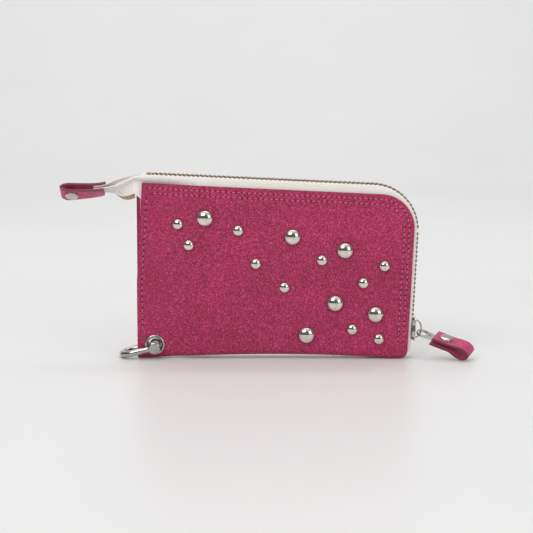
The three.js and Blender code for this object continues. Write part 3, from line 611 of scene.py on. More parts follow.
def tab_leather():
    """The same hide cut small, with a finer and softer crinkle."""
    paint = Paint("tab_leather", Sheen_Weight=0.06, Sheen_Roughness=0.5)
    grain = paint.noise(0.8, detail=3, roughness=0.6, distortion=0.4)
    patches = paint.noise(7, detail=2)
    tone = paint.ramp(grain, [
        (0.34, srgb(150, 24, 74)), (0.5, srgb(184, 42, 98)), (0.68, srgb(212, 80, 134)),
    ])
    shade = paint.ramp(patches, [(0.35, gray(0.86)), (0.65, gray(1.05))])
    paint.colour(paint.mix(1.0, tone, shade, "MULTIPLY"))
    return paint.rough(grain, 0.62, 0.40).bump((grain, 0.14)).material


def tan_leather():
    paint = Paint("tan_leather", 0.65)
    grain = paint.noise(0.9, detail=4)
    paint.colour(paint.ramp(grain, [(0.3, srgb(146, 112, 88)), (0.7, srgb(190, 160, 134))]))
    return paint.rough(grain, 0.8, 0.55).bump((grain, 0.08)).material


def lining_cloth():
    """Lilac lining with a fine plain weave."""
    paint = Paint("lilac_lining", Sheen_Weight=0.3, Sheen_Roughness=0.4)
    weave = paint.sum("MULTIPLY", paint.wave(0.45, "X"), paint.wave(0.45, "Z"))
    tone = paint.noise(6, detail=3)
    base = paint.ramp(tone, [(0.3, srgb(196, 154, 190)), (0.7, srgb(220, 184, 212))])
    shade = paint.ramp(weave, [(0.0, gray(0.86)), (0.6, gray(1.0))])
    paint.colour(paint.mix(1.0, base, shade, "MULTIPLY"))
    return paint.rough(tone, 0.85, 0.65).bump((weave, 0.06)).material


def zip_tape():
    """Off-white cotton tape, its weave in fine ribs along and across."""
    paint = Paint("zip_tape", Sheen_Weight=0.25, Sheen_Roughness=0.5)
    ribs = paint.wave(0.62, "DIAGONAL", 0.4)
    cross = paint.wave(0.5, "Y", 0.3)
    weave = paint.sum("ADD", paint.sum("MULTIPLY", ribs, 0.6), paint.sum("MULTIPLY", cross, 0.4))
    fuzz = paint.noise(0.5, detail=3)
    base = paint.ramp(weave, [(0.1, srgb(214, 206, 196)), (0.7, srgb(240, 236, 229))])
    shade = paint.ramp(paint.noise(9, detail=2), [(0.3, gray(0.95)), (0.7, gray(1.0))])
    paint.colour(paint.mix(1.0, base, shade, "MULTIPLY"))
    return paint.rough(fuzz, 0.95, 0.75).bump((weave, 0.10), (fuzz, 0.05)).material


def metal(name, dark, light, roughness, scratches=0.01, grain=2.0):
    """Plated metal: a slightly uneven shine over very fine brushing."""
    paint = Paint(name, metallic=1.0)
    clouds = paint.noise(grain, detail=4, roughness=0.6)
    brushed = paint.noise(0.35, detail=2, where=paint.stretched((1, 1, 0.12)))
    paint.colour(paint.ramp(clouds, [(0.25, dark), (0.75, light)]))
    paint.rough(clouds, roughness[0], roughness[1])
    return paint.bump((brushed, scratches)).material


def thread():
    """Light pink sewing thread with its twist."""
    paint = Paint("seam_thread", 0.55, Sheen_Weight=0.3, Sheen_Roughness=0.4)
    twist = paint.wave(0.55, "DIAGONAL", 0.2)
    paint.colour(paint.ramp(twist, [(0.2, srgb(178, 66, 104)), (0.8, srgb(216, 100, 140))]))
    return paint.bump((twist, 0.08)).material


def needle_hole_shade():
    # Painted shade of the needle holes: a slightly uneven dark colour.
    paint = Paint("needle_hole_shade", 0.9)
    shade = paint.noise(0.4)
    return paint.colour(paint.ramp(shade, [(0.3, srgb(48, 8, 22)), (0.7, srgb(76, 14, 36))])).material


def pale_surface():
    """The studio's seamless sheet, with a faint sheen."""
    paint = Paint("pale_surface")
    tone = paint.noise(160, detail=2)
    paint.colour(paint.ramp(tone, [(0.3, srgb(223, 223, 223)), (0.7, srgb(226, 226, 226))]))
    return paint.rough(tone, 0.42, 0.36).material


PINK = crinkled_leather()
BURNISHED = burnished_edge()
TAB = tab_leather()
TAN = tan_leather()
LILAC = lining_cloth()
WHITE = zip_tape()
TEETH = metal("zip_teeth", srgb(112, 88, 66), srgb(168, 148, 124), (0.4, 0.28), 0.02, 0.9)
NICKEL = metal("slider_metal", srgb(186, 184, 181), srgb(214, 212, 209), (0.24, 0.16), 0.01)
POLISHED = metal("polished_metal", srgb(172, 169, 165), srgb(200, 197, 193), (0.18, 0.11), 0.006)
CHROME = metal("stud_metal", srgb(212, 205, 195), srgb(230, 224, 214), (0.10, 0.05), 0.004, 3.0)
THREAD = thread()
HOLE_SHADE = needle_hole_shade()

# Every look's materials, first the one of its faces and then the one of its cut edges.
LOOKS = {
    "pink_leather": (PINK, BURNISHED),
    "tab_leather": (TAB, BURNISHED),
    "tan_leather": (TAN,),
    "lilac_lining": (LILAC, LILAC),
    "lilac_hem": (LILAC,),
    "zip_tape": (WHITE,),
    "zip_teeth": (TEETH,),
    "slider_metal": (NICKEL,),
    "polished_metal": (POLISHED,),
    "stud_metal": (CHROME,),
    "seam_thread": (THREAD,),
    "needle_hole_shade": (HOLE_SHADE,),
}


# ---- the folded leather sheet ----
FOLD_OUTER_RADIUS = FOLD_INNER_RADIUS + LEATHER
FOLD_FLAT = INNER_HALF - FOLD_INNER_RADIUS
FOLD_ARC = FOLD_OUTER_RADIUS * math.pi / 2
UNFOLD = FOLD_FLAT + FOLD_ARC - FOLD_OUTER_RADIUS


def unfolded(z):
    """How far a point of height z lies from the sheet's middle line, once unfolded."""
    if z >= FOLD_OUTER_RADIUS:
        return z + UNFOLD
    turn = math.asin(clamp((FOLD_OUTER_RADIUS - z) / FOLD_OUTER_RADIUS))
    return FOLD_FLAT + FOLD_ARC * (1 - turn / (math.pi / 2))


def folded(x, q):
    """The place on the leather's outer face of a point of the unfolded sheet."""
    side = 1 if q > 0 else -1
    q = abs(q)
    half = inner_half_at(x)
    inner_radius = min(FOLD_INNER_RADIUS, half * 0.6)
    flat = half - inner_radius
    radius = inner_radius + LEATHER
    rise = foot_at(x)
    if q <= FOLD_FLAT:
        return (x, side * flat * q / FOLD_FLAT, rise)
    if q <= FOLD_FLAT + FOLD_ARC:
        turn = math.pi / 2 * (1 - (q - FOLD_FLAT) / FOLD_ARC)
        return (x, side * (flat + radius * math.cos(turn)), rise + radius * (1 - math.sin(turn)))
    z = q - UNFOLD
    fading = 1 - ease(between(z, FOLD_OUTER_RADIUS, ARCH_FADES_BY))
    return (x, side * (half + LEATHER), z + rise * fading)


def side_outline(leans):
    """The edge of one panel from its lower left round to its lower right, as (x, z)."""
    corner_path = edge_path(0, leans, 1.1)
    shift = LEFT_LEAN_SHIFT if leans else 0
    left = [Vector((0, z)) for z in evenly(0, LEFT_LEAN_START, 34)]
    left += resampled([Vector((0, LEFT_LEAN_START)), Vector((shift, corner_path[0].y))], 1.2)[1:]
    foot_turns = [math.pi / 2 * i / 5 for i in range(1, 6)]
    foot = [
        Vector((FOLD_LENGTH - FOOT_ROUNDING * (1 - math.cos(a)), FOOT_ROUNDING * (1 - math.sin(a))))
        for a in foot_turns
    ]
    return left + corner_path[1:] + foot


def leather_outline():
    """The whole sheet's edge once unfolded, as (x, q), with q negative on the front."""
    front = [(p.x, -unfolded(p.y)) for p in side_outline(True)]
    back = [(p.x, unfolded(p.y)) for p in reversed(side_outline(False))]
    return front + back


def grid_inside(outline, holes, step_x, levels, margin):
    """Points of a grid that lie in the outline and clear of its edges."""
    low = min(x for x, _ in outline)
    high = max(x for x, _ in outline)
    edge = [Vector(p) for loop in [outline, *holes] for p in loop]
    kept = []
    for q in levels:
        near = [e for e in edge if abs(e.y - q) < margin]
        for i in range(round((high - low) / step_x) + 1):
            point = Vector((low + i * step_x, q))
            clear = all((point - e).length > margin for e in near)
            if clear and inside(point, outline) and not any(inside(point, h) for h in holes):
                kept.append(point)
    return kept


def add_sheet(name, node, shape, thickness, rounding, look):
    """A sheet given thickness inwards, with rounded edges of the look's second material."""
    piece = make_piece(name, "wallet", shape, look, node)
    solid = piece.modifiers.new("solid", "SOLIDIFY")
    solid.thickness = thickness * MM
    solid.offset = -1
    solid.use_quality_normals = True
    solid.material_offset_rim = 1
    add_bevel(piece, rounding, 3, 55, 1)


def add_leather():
    outline = leather_outline()
    hole_radius = EYELET_BORE + 0.7
    rim = circle(hole_radius, 28, (EYELET_X, EYELET_Z))
    holes = [[(x, side * unfolded(z)) for x, z in rim] for side in (-1, 1)]
    upright = evenly(FOLD_FLAT + FOLD_ARC, unfolded(LEFT_HEIGHT), 44)
    bend = evenly(FOLD_FLAT, FOLD_FLAT + FOLD_ARC, 7)[1:-1]
    levels = [-q for q in upright[::-1] + bend[::-1]] + evenly(-FOLD_FLAT, FOLD_FLAT, 4) + bend + upright
    inner = grid_inside(outline, holes, 2.2, levels, 0.85)
    flat, triangles = filled(outline, holes, inner)
    sheet = Shape([folded(x, q) for x, q in flat], triangles)
    add_sheet("wallet_leather", "outer_leather", sheet, LEATHER, 0.4, "pink_leather")


def lining_outline(leans):
    path = edge_path(LINING_INSET, leans, 2.0)
    shift = LEFT_LEAN_SHIFT if leans else 0
    left = resampled([
        Vector((LINING_INSET, LINING_FOOT_Z)), Vector((LINING_INSET, LEFT_LEAN_START)),
        Vector((shift + LINING_INSET, path[0].y)),
    ], 2.0)[:-1]
    above = [p for p in path if p.y > LINING_FOOT_Z]
    return left + above + [Vector((above[-1].x, LINING_FOOT_Z))]


def add_lining(name, side, leans):
    outline = [tuple(p) for p in lining_outline(leans)]
    holes = [circle(EYELET_BORE + 0.75, 24, (EYELET_X, max(EYELET_Z, LINING_FOOT_Z + 5.2)))]
    inner = grid_inside(outline, holes, 3, evenly(LINING_FOOT_Z, LEFT_HEIGHT, 32), 1.2)
    flat, triangles = filled(outline, holes, inner)
    places = [(x, side * (inner_half_at(x) - INNER_HALF + LINING_OUTER), z) for x, z in flat]
    add_sheet(name + "_cloth", name, Shape(places, triangles), LINING, 0.12, "lilac_lining")


def add_card_slot(index, top):
    """A pocket sheet with rounded upper corners and a turned hem along its mouth."""
    inner = LINING_OUTER - LINING - 0.2 - index * (CARD_SHEET + 0.2)
    y = inner - CARD_SHEET / 2
    foot = LINING_FOOT_Z + 1
    radius = CARD_SLOT_CORNER
    left, right = CARD_SLOT_LEFT, CARD_SLOT_LEFT + CARD_SLOT_WIDTH
    outline = [(left, foot), (right, foot)]
    outline += quarter((right - radius, top - radius), (radius, radius), 0, 90, 8)
    outline += quarter((left + radius, top - radius), (radius, radius), 90, 180, 8)
    flat, triangles = filled(outline, [], grid_inside(outline, [], 6, evenly(foot, top, 6), 2.5))
    sheet = Shape([(x, y + CARD_SHEET / 2, z) for x, z in flat], triangles)
    name = f"card_slot_{index + 1}"
    add_sheet(name + "_cloth", name, sheet, CARD_SHEET, 0.12, "lilac_lining")
    section = rounded_section(0.26, 0.9, 0.25)
    xs = evenly(left + radius, right - radius, 30)
    hem = Shape().tube([[(x, y + a, top - 1.1 + b) for a, b in section] for x in xs])
    add_bevel(make_piece(name + "_hem", "wallet", hem, "lilac_hem"), 0.1, 2)


# ---- seams ----
def stitch(shape, start, end, y_at, side, proud):
    """A short arched thread lying on the leather between two needle holes."""
    along = end - start
    across = Vector((-along.y, along.x)).normalized()
    rings = []
    for i in range(9):
        t = i / 8
        centre = start.lerp(end, t)
        arch = math.sin(math.pi * t) ** 0.5
        radius = THREAD_RADIUS * (0.35 + 0.65 * arch)
        lift = lerp(-SEAM_SUNK, proud - THREAD_RADIUS * 0.4, arch)
        ring = []
        for k in range(8):
            a = 2 * math.pi * k / 8
            flat = centre + across * (radius * math.cos(a))
            y = y_at(flat.x) + lift + radius * math.sin(a) * 0.8
            ring.append((flat.x, side * y, flat.y))
        rings.append(ring)
    shape.tube(rings)


def pinprick(shape, centre, y_at, side):
    """A dark dimple where the needle went through, just proud of the crinkled surface; its dark colour is
    painted shade of the hole.
    """
    rings = []
    for radius, proud in ((NEEDLE_HOLE_RADIUS, 0.02), (NEEDLE_HOLE_RADIUS * 0.6, 0.06)):
        y = side * (y_at(centre.x) + proud)
        rings.append([(centre.x + x, y, centre.y + z) for x, z in circle(radius, 10)])
    shape.tube(rings)


def seam_stitches(path, pitch):
    """Start and end points of the stitches along a path of closely spaced points."""
    total = sum((b - a).length for a, b in zip(path, path[1:]))
    points = resampled(path, total / max(1, round(total / pitch)))
    share = STITCH_LENGTH / pitch
    pairs = []
    for a, b in zip(points, points[1:]):
        middle = (a + b) / 2
        pairs.append((middle.lerp(a, share), middle.lerp(b, share)))
    return pairs


def add_seams():
    for side, label, leans in ((-1, "front", True), (1, "back", False)):
        threads, holes = Shape(), Shape()
        shift = LEFT_LEAN_SHIFT if leans else 0
        runs = []
        for inset in SEAM_INSETS:
            path = [p for p in edge_path(inset, leans) if p.y > 6.5]
            runs.append((path, SEAM_PITCH, SEAM_PROUD))
        column = [
            Vector((LEFT_SEAM_INSET + shift * between(z, LEFT_LEAN_START, LEFT_HEIGHT), z))
            for z in evenly(LEFT_HEIGHT - 8.5, LEFT_SEAM_FOOT, 40)
        ]
        runs.append((column, LEFT_SEAM_PITCH, LEFT_SEAM_PROUD))
        for path, pitch, proud in runs:
            for start, end in seam_stitches(path, pitch):
                stitch(threads, start, end, face_at, side, proud)
                # Each needle hole gets a dark disc of painted shade.
                pinprick(holes, start.lerp(end, -0.06), face_at, side)
        make_piece(f"seam_threads_{label}", "wallet", threads, "seam_thread")
        make_piece(f"needle_holes_{label}", "wallet", holes, "needle_hole_shade")


# ---- the zip chain's line ----
CHAIN_CORNER = CORNER - CHAIN_SIDE_RISE * LEFT_SIDE - CHAIN_TOP_RISE * DOWN_SIDE
ARC_CENTRE = CHAIN_CORNER + CHAIN_CORNER_RADIUS * (LEFT_SIDE + DOWN_SIDE)
TOP_RUN = (CHAIN_CORNER.x - TAIL_ROOT_X) / math.cos(LEAN) - CHAIN_CORNER_RADIUS
ARC_RUN = CHAIN_CORNER_RADIUS * math.pi / 2
SIDE_RUN = (CHAIN_CORNER.y - TAPE_FOOT_Z) / math.cos(LEAN) - CHAIN_CORNER_RADIUS
SIDE_START = TOP_RUN + ARC_RUN


def chain_at(along):
    """The chain's point and outward direction, a way along from the wallet's left end."""
    turn = clamp((along - TOP_RUN) / CHAIN_CORNER_RADIUS, 0, math.pi / 2)
    angle = math.pi / 2 - LEAN - turn
    outward = Vector((math.cos(angle), math.sin(angle)))
    point = ARC_CENTRE + CHAIN_CORNER_RADIUS * outward
    point = point + max(TOP_RUN - along, 0) * LEFT_SIDE
    return point + max(along - SIDE_START, 0) * DOWN_SIDE, outward


def chain_place(along, across, out):
    point, outward = chain_at(along)
    return (point.x + outward.x * out, across, point.y + outward.y * out)


def along_at_z(z):
    return SIDE_START + (chain_at(SIDE_START)[0].y - z) / math.cos(LEAN)


def along_at_x(x):
    return (x - TAIL_ROOT_X) / math.cos(LEAN)


TAIL_LINE = [(x, chain_at(0)[0].y + rise) for x, rise in TAIL_RISES]


def tail_height(x):
    low, high = 0.0, 1.0
    for _ in range(24):
        middle = (low + high) / 2
        if spline(TAIL_LINE, middle).x < x:
            low = middle
        else:
            high = middle
    return spline(TAIL_LINE, low).y


def twist_at(x):
    entering = ease(between(x, TAIL_TAB_END_X, TAIL_ROOT_X))
    in_tab = between(x, TAIL_TAB_FOLD_X, TAIL_TAB_END_X)
    return lerp(TAIL_TWIST_AT_FOLD, TAIL_TWIST_AT_TAB, in_tab) * (1 - entering)


def tail_place(x, across, out):
    twist, z = twist_at(x), tail_height(x)
    cos, sin = math.cos(twist), math.sin(twist)
    return (x, across * cos - out * sin, z + across * sin + out * cos)


# ---- tapes ----
def tape_section(side):
    """The tape's section: beside the teeth, over the bend and down inside the wallet."""
    middle = TAPE_OUTER - TAPE / 2
    line = [
        (CHAIN_HALF_WIDTH + 0.1, 0.02), (TAPE_OUTER - 0.55, -0.02), (middle - 0.03, -0.35),
        *((middle, -out) for out in (0.8, TAPE_CLOSES_IN[0], 3, TAPE_CLOSES_IN[1], 6, 9, 12, TAPE_DEPTH)),
    ]
    half = TAPE / 2
    outer, inner = [], []
    for i, point in enumerate(line):
        before = Vector(line[max(i - 1, 0)])
        after = Vector(line[min(i + 1, len(line) - 1)])
        along = (after - before).normalized()
        normal = Vector((-along.y, along.x))
        outer.append(Vector(point) + normal * half)
        inner.append(Vector(point) - normal * half)
    return [(side * p.x, p.y) for p in outer + inner[::-1]]


def sunk_at(out):
    return between(-out, *TAPE_CLOSES_IN)


def tape_in_wallet(along, across, out):
    point, outward = chain_at(along)
    x = point.x + outward.x * out
    sign = 1 if across > 0 else -1
    return (x, across - sign * (INNER_HALF - inner_half_at(x)) * sunk_at(out), point.y + outward.y * out)


def tape_in_tail(x, across, out):
    squeeze = 1 - between(x, TAIL_TAB_END_X, TAIL_ROOT_X)
    from_outer = TAPE_OUTER - abs(across)
    loose = TAPE_OUTER - (INNER_HALF - SEAM_INNER_HALF) * sunk_at(out) - from_outer
    flat = TAPE + TAIL_STRIP / 2 + 0.2 - min(from_outer, TAPE)
    sign = 1 if across > 0 else -1
    return tail_place(x, sign * lerp(loose, flat, squeeze), out * TAIL_TAPE_WIDTH_SHARE)


def add_tapes():
    tail = evenly(TAIL_TAPE_END_X, TAIL_ROOT_X, 26)
    top = evenly(along_at_x(TAPE_FULL_X), TOP_RUN, 50)
    arc = evenly(TOP_RUN, SIDE_START, 24)[1:]
    down = evenly(SIDE_START, SIDE_START + SIDE_RUN, 22)[1:]
    for side, label in ((-1, "front"), (1, "back")):
        section = tape_section(side)
        rings = [[tape_in_tail(x, a, b) for a, b in section] for x in tail]
        rings += [[tape_in_wallet(s, a, b) for a, b in section] for s in top + arc + down]
        tape = make_piece(f"zip_tape_{label}", "wallet", Shape().tube(rings), "zip_tape", f"{label}_tape")
        add_bevel(tape, 0.12, 2, 60)


# ---- teeth and stops ----
def tooth_outline(side):
    """One tooth seen from outside the zip: a wide clamp on the tape, a waist and a rounded head."""
    half = TOOTH_WIDTH / 2
    right = [
        (half * 0.94, 3.0), (half, 2.4), (half, 1.5), (half * 0.78, 1.0), (half * 0.70, 0.5),
        (half * 0.86, 0.1), (half * 0.78, -0.35), (half * 0.4, -0.6),
    ]
    left = [(-a, b) for a, b in reversed(right)]
    return [(a, side * b) for a, b in right + left]


def add_teeth_row(name, side, first, last, node):
    """Every tooth of a run, each a bevelled block that leans with the chain's line."""
    shape = Shape()
    outline = tooth_outline(side)
    half = CHAIN_THICKNESS / 2
    levels = (
        (-half, 0.72), (-half + 0.3, 0.96), (-0.35, 1.0), (0.35, 1.0), (half - 0.3, 0.96), (half, 0.72),
    )
    edge = 1.6 * side
    at = first + (TOOTH_PITCH / 2 if side > 0 else 0)
    while at + TOOTH_WIDTH <= last:
        middle = at + 0.45
        rings = []
        for out, share in levels:
            squeeze = lerp(1, share, 0.35)
            rings.append([
                chain_place(middle + a * share, edge + (b - edge) * squeeze, out) for a, b in outline
            ])
        shape.tube(rings)
        at += TOOTH_PITCH
    make_piece(name, "wallet", shape, "zip_teeth", node)


def add_cord(name, side, first, last):
    """The corded edge of the tape that the teeth are clamped on."""
    section = circle(0.62, 10)
    stops = evenly(first, last, 90)
    shape = Shape().tube([[chain_place(s, side * 2.4 + a, b) for a, b in section] for s in stops])
    make_piece(name, "wallet", shape, "zip_tape")


def add_chain():
    first = along_at_x(FIRST_TOOTH_X)
    last = along_at_z(SLIDER_FOOT + SLIDER_LENGTH * 0.55)
    for side, label in ((-1, "front"), (1, "back")):
        add_teeth_row(f"teeth_top_{label}", side, first, SIDE_START - 0.5, f"{label}_teeth_top")
        add_teeth_row(f"teeth_side_{label}", side, SIDE_START + 0.5, last, f"{label}_teeth_side")
        add_cord(f"tape_cord_{label}", side, along_at_x(1.5), SIDE_START + SIDE_RUN - 1)


def add_stop(node, start, length, section, rounding):
    """A crimped metal stop: a section carried along the chain, pinched in its middle."""
    rings = []
    for t in evenly(0, 1, 8):
        pinch = 1 - 0.10 * math.sin(math.pi * t)
        rings.append([chain_place(start + length * t, a, b * pinch) for a, b in section])
    piece = make_piece(node + "_crimp", "wallet", Shape().tube(rings), "zip_teeth", node)
    add_bevel(piece, rounding, 3, 50)


def add_stops():
    half = CHAIN_THICKNESS / 2
    start = along_at_x(FIRST_TOOTH_X) - 2.9
    bottom = rounded_section(CHAIN_HALF_WIDTH, half, 0.6)
    add_stop("bottom_stop", start, 2.2, bottom, 0.25)
    top = along_at_z(SLIDER_FOOT + 2.6)
    for side, label in ((-1, "front"), (1, "back")):
        section = [(side * 2.5 + a, b) for a, b in rounded_section(0.5, half - 0.1, 0.3)]
        add_stop(f"{label}_top_stop", top, 2, section, 0.15)


# ---- slider ----
SLIDER_AT = along_at_z(SLIDER_TOP)


def slider_outline(widest, narrow):
    """The slider's plate, from its narrow upper end to the wide mouth at its foot."""
    half = [
        (0.15, narrow - 1.0), (1.0, narrow), (4.2, narrow + 0.15), (7.4, widest),
        (SLIDER_LENGTH - 2.4, widest), (SLIDER_LENGTH - 0.6, widest - 0.9), (SLIDER_LENGTH, widest - 2.2),
    ]
    return half + [(a, -b) for a, b in reversed(half)]


def slider_place(along, across, out):
    return chain_place(SLIDER_AT + along, across, out)


def add_slider():
    """Two plates joined by the wedge, the outer one with its edges turned in over the chain."""
    shape = Shape()
    outer = slider_outline(SLIDER_HALF_WIDTH - 0.05, 4.45)
    shape.plate(outer, [], PLATE_IN, PLATE_OUT - 0.02, slider_place)
    inner = slider_outline(3.4, 3.3)
    shape.plate(inner, [], -PLATE_OUT, -PLATE_IN, slider_place)
    for side in (-1, 1):
        flange = [(a, b) for a, b in outer if b * side > 0 and 0.9 < a < SLIDER_LENGTH - 1]
        turned = [(a, b - side * 0.85) for a, b in reversed(flange)]
        shape.plate(flange + turned, [], 0.55, PLATE_OUT - 0.3, slider_place)
    wedge = [(6.4, 0), (8.2, -0.9), (10, -1.35), (12.8, -1.2), (12.8, 1.2), (10, 1.35), (8.2, 0.9)]
    shape.plate(wedge, [], -PLATE_IN - 0.3, PLATE_IN + 0.3, slider_place)
    body = make_piece("slider_casting", "slider", shape, "slider_metal", "slider_body")
    cast(body, 0.16, 5)
    body.data.materials.clear()
    body.data.materials.append(NICKEL)


def add_bridge():
    """The arch that the puller hangs in: broad at its feet and slimmer at its crown."""
    rings = []
    middle = SLIDER_AT + SLIDER_LENGTH / 2
    reach, rise = BRIDGE_HALF_LENGTH - BRIDGE_BAND / 2, BRIDGE_HEIGHT - BRIDGE_BAND / 2
    for i in range(33):
        turn = math.pi * i / 32
        foot = abs(math.cos(turn)) ** 3
        width = lerp(BRIDGE_CROWN_WIDTH, BRIDGE_FOOT_WIDTH, foot)
        normal = Vector((math.cos(turn) / reach, math.sin(turn) / rise)).normalized()
        centre = Vector((reach * math.cos(turn), PLATE_OUT + 0.2 + rise * math.sin(turn)))
        section = rounded_section(BRIDGE_BAND / 2, width / 2, BRIDGE_EDGE)
        rings.append([
            chain_place(middle - centre.x - a * normal.x, b, centre.y + a * normal.y) for a, b in section
        ])
    rings = [bridge_foot(-1, middle, reach), *rings, bridge_foot(1, middle, reach)]
    make_piece("slider_arch", "slider", Shape().tube(rings), "slider_metal", "slider_bridge")


def bridge_foot(way, middle, reach):
    """The arch's end section, sunk into the plate."""
    section = rounded_section(BRIDGE_BAND / 2, BRIDGE_FOOT_WIDTH / 2, BRIDGE_EDGE)
    return [chain_place(middle + way * (reach + a), b, PLATE_OUT - 0.25) for a, b in section]


# ---- puller and its leather tab ----
PIVOT_OUT = PLATE_OUT + 0.2 + PIVOT_RISE
PIVOT = Vector(chain_place(SLIDER_AT + SLIDER_LENGTH / 2 + PIVOT_DOWN, 0, PIVOT_OUT))
PULL_FRAME = (
    Matrix.Translation(PIVOT)
    @ Matrix.Rotation(PULLER_TURN[2], 4, "Z")
    @ Matrix.Rotation(PULLER_TURN[1], 4, "Y")
    @ Matrix.Rotation(PULLER_TURN[0], 4, "X")
    @ Matrix.Translation((0, PULLER_SIDEWAYS, 0))
)


def pull_place(u, v, w):
    return tuple(PULL_FRAME @ Vector((u, v, w)))


def mirrored(half):
    """A closed outline from its lower half, from one end of the axis to the other."""
    return [(a, -b) for a, b in half] + [(a, b) for a, b in reversed(half)]


def puller_outline():
    tip = quarter((18.7, 0), (1.8, 2.8), 80, 20, 4)
    return mirrored([
        (-0.45, 0.8), (-0.4, 1.3), (0.0, 1.85), (1.3, 3.1), (1.9, 3.4), (5.2, 3.4), (6.1, 3.15),
        (7.0, 2.85), (13, 2.8), (17.6, 2.8), *tip,
    ])


def add_puller():
    window = mirrored([
        (0.45, 0.8), (0.5, 1.45), (1.5, 2.5), (1.9, 2.6), (4.8, 2.6), (5.25, 2.3), (5.4, 1.6),
    ])
    small_hole = circle(0.8, 20, (7.4, 0))
    half = PULLER_THICKNESS / 2 - 0.02
    shape = Shape().plate(puller_outline(), [window, small_hole], -half, half, pull_place)
    piece = make_piece("puller_blade", "pull", shape, "slider_metal", "puller")
    add_bevel(piece, 0.28, 4, 50)


def add_tab_strip(name, body, line, count, place, node):
    """A leather strip along a line given as (along, height) points, with burnished edges."""
    rings = strip_rings(line, count, place)
    piece = make_piece(name, body, Shape().tube(rings), "tab_leather", node)
    paint_edges(piece, len(rings[0]))
    add_bevel(piece, 0.3, 3, 60)


def strip_rings(line, count, place):
    section = rounded_section(TAB_WIDTH / 2, TAB_LEATHER / 2, 0.42)
    rings = []
    for i in range(count + 1):
        t = i / count
        centre = spline(line, t)
        tangent = (spline(line, t + 0.004) - spline(line, t - 0.004)).normalized()
        rings.append([
            place(centre.x - tangent.y * up, across, centre.y + tangent.x * up) for across, up in section
        ])
    return rings


def paint_edges(piece, sides):
    """Gives a strip's two long edges and its ends the burnished material."""
    per_corner = sides // 4
    for face in piece.data.polygons:
        if len(face.vertices) > 4:
            face.material_index = 1
            continue
        slots = sorted({v % sides for v in face.vertices})
        low = slots[0] if slots != [0, sides - 1] else sides - 1
        face.material_index = 0 if low in (2 * per_corner - 1, 4 * per_corner - 1) else 1


PULL_TAB_LAYER = PULLER_THICKNESS / 2 + TAB_GAP + TAB_LEATHER / 2
PULL_TAB_LINE = [
    (10.5, PULL_TAB_LAYER), (14, PULL_TAB_LAYER), (17.5, PULL_TAB_LAYER), (21, PULL_TAB_LAYER),
    (24.8, 2.2), (28.4, 2.2), (31.2, 1.1), (32.3, -0.7), (31.2, -2.7), (28.6, -3.6), (25, -3),
    (21.4, -PULL_TAB_LAYER), (17.5, -PULL_TAB_LAYER), (13.5, -PULL_TAB_LAYER), (9.5, -PULL_TAB_LAYER),
]


def add_pull_tab():
    add_tab_strip("pull_tab_strip", "pull", PULL_TAB_LINE, 96, pull_place, "pull_tab_leather")
    reach = PULLER_THICKNESS / 2 + TAB_GAP + TAB_LEATHER
    turned = PULL_FRAME @ Matrix.Translation((PULL_RIVET_AT, 0, 0)) @ Matrix.Rotation(math.pi / 2, 4, "X")
    add_rivet("pull_tab_rivet", "pull", turned, reach)


def add_rivet(name, body, matrix, reach):
    """A domed cap over one layer and a flat post head over the other."""
    rim = RIVET_CAP_RADIUS
    dome = quarter((0, reach + 0.4), (rim, 0.95), 0, 90, 12)
    cap = [
        (0, reach - 0.3), (1.1, reach - 0.3), (1.1, reach - 0.05), (rim - 0.15, reach - 0.05),
        (rim, reach + 0.1), *dome,
    ]
    pin = RIVET_POST_RADIUS - 0.4
    head = quarter((0, -reach - 0.35), (rim, 0.6), 0, -90, 10)
    post = [
        (0, reach - 0.5), (pin, reach - 0.5), (pin, -reach), (rim - 0.15, -reach + 0.05),
        (rim, -reach - 0.1), *head,
    ]
    for part, profile in (("cap", cap), ("post", post)):
        node = f"{name}_{part}"
        make_piece(node + "_turned", body, Shape().lathe(profile, matrix), "polished_metal", node)


# ---- tail ----
def add_tail():
    middle = TAIL_TAB_HALF_GAP + TAB_LEATHER / 2
    fold = TAIL_TAB_FOLD_X
    line = [
        (TAIL_TAB_END_X + 0.8, middle), (-26, middle), (-34, middle + 0.1), (fold + 3.5, middle),
        (fold + 0.7, 0.1), (fold + 3.5, -middle),
        (-34, -middle - 0.1), (-26, -middle), (TAIL_TAB_END_X - 0.4, -middle),
    ]
    centre = 0.4 - TAB_WIDTH / 2

    def place(x, along, up):
        return tail_place(x, up, centre + along)

    add_tab_strip("tail_tab_strip", "wallet", line, 80, place, "tail_tab_leather")
    where = Matrix.Translation(tail_place(TAIL_RIVET_X, 0, centre))
    turned = where @ Matrix.Rotation(twist_at(TAIL_RIVET_X) + math.pi, 4, "X")
    add_rivet("tail_tab_rivet", "wallet", turned, TAIL_TAB_HALF_GAP + TAB_LEATHER + 0.1)
    add_tail_strip()


def add_tail_strip():
    first = TAIL_TAB_END_X + 2.4
    tape_edge = TAPE_DEPTH * TAIL_TAPE_WIDTH_SHARE
    rings = []
    for x in evenly(first, TAIL_ROOT_X, 24):
        shows = TAIL_STRIP_SHOWS * math.sin(math.pi * between(x, first, 2 * TAIL_ROOT_X - first)) ** 0.6
        low, high = -(tape_edge + 0.1 + shows), -tape_edge / 2
        reach = (high - low) / 2
        rings.append([
            tail_place(x, a, low + reach + b) for a, b in rounded_section(TAIL_STRIP / 2, reach, 0.2, 3)
        ])
    piece = make_piece("tail_strip_leather", "wallet", Shape().tube(rings), "tan_leather", "tail_strip")
    add_bevel(piece, 0.1, 2, 60)


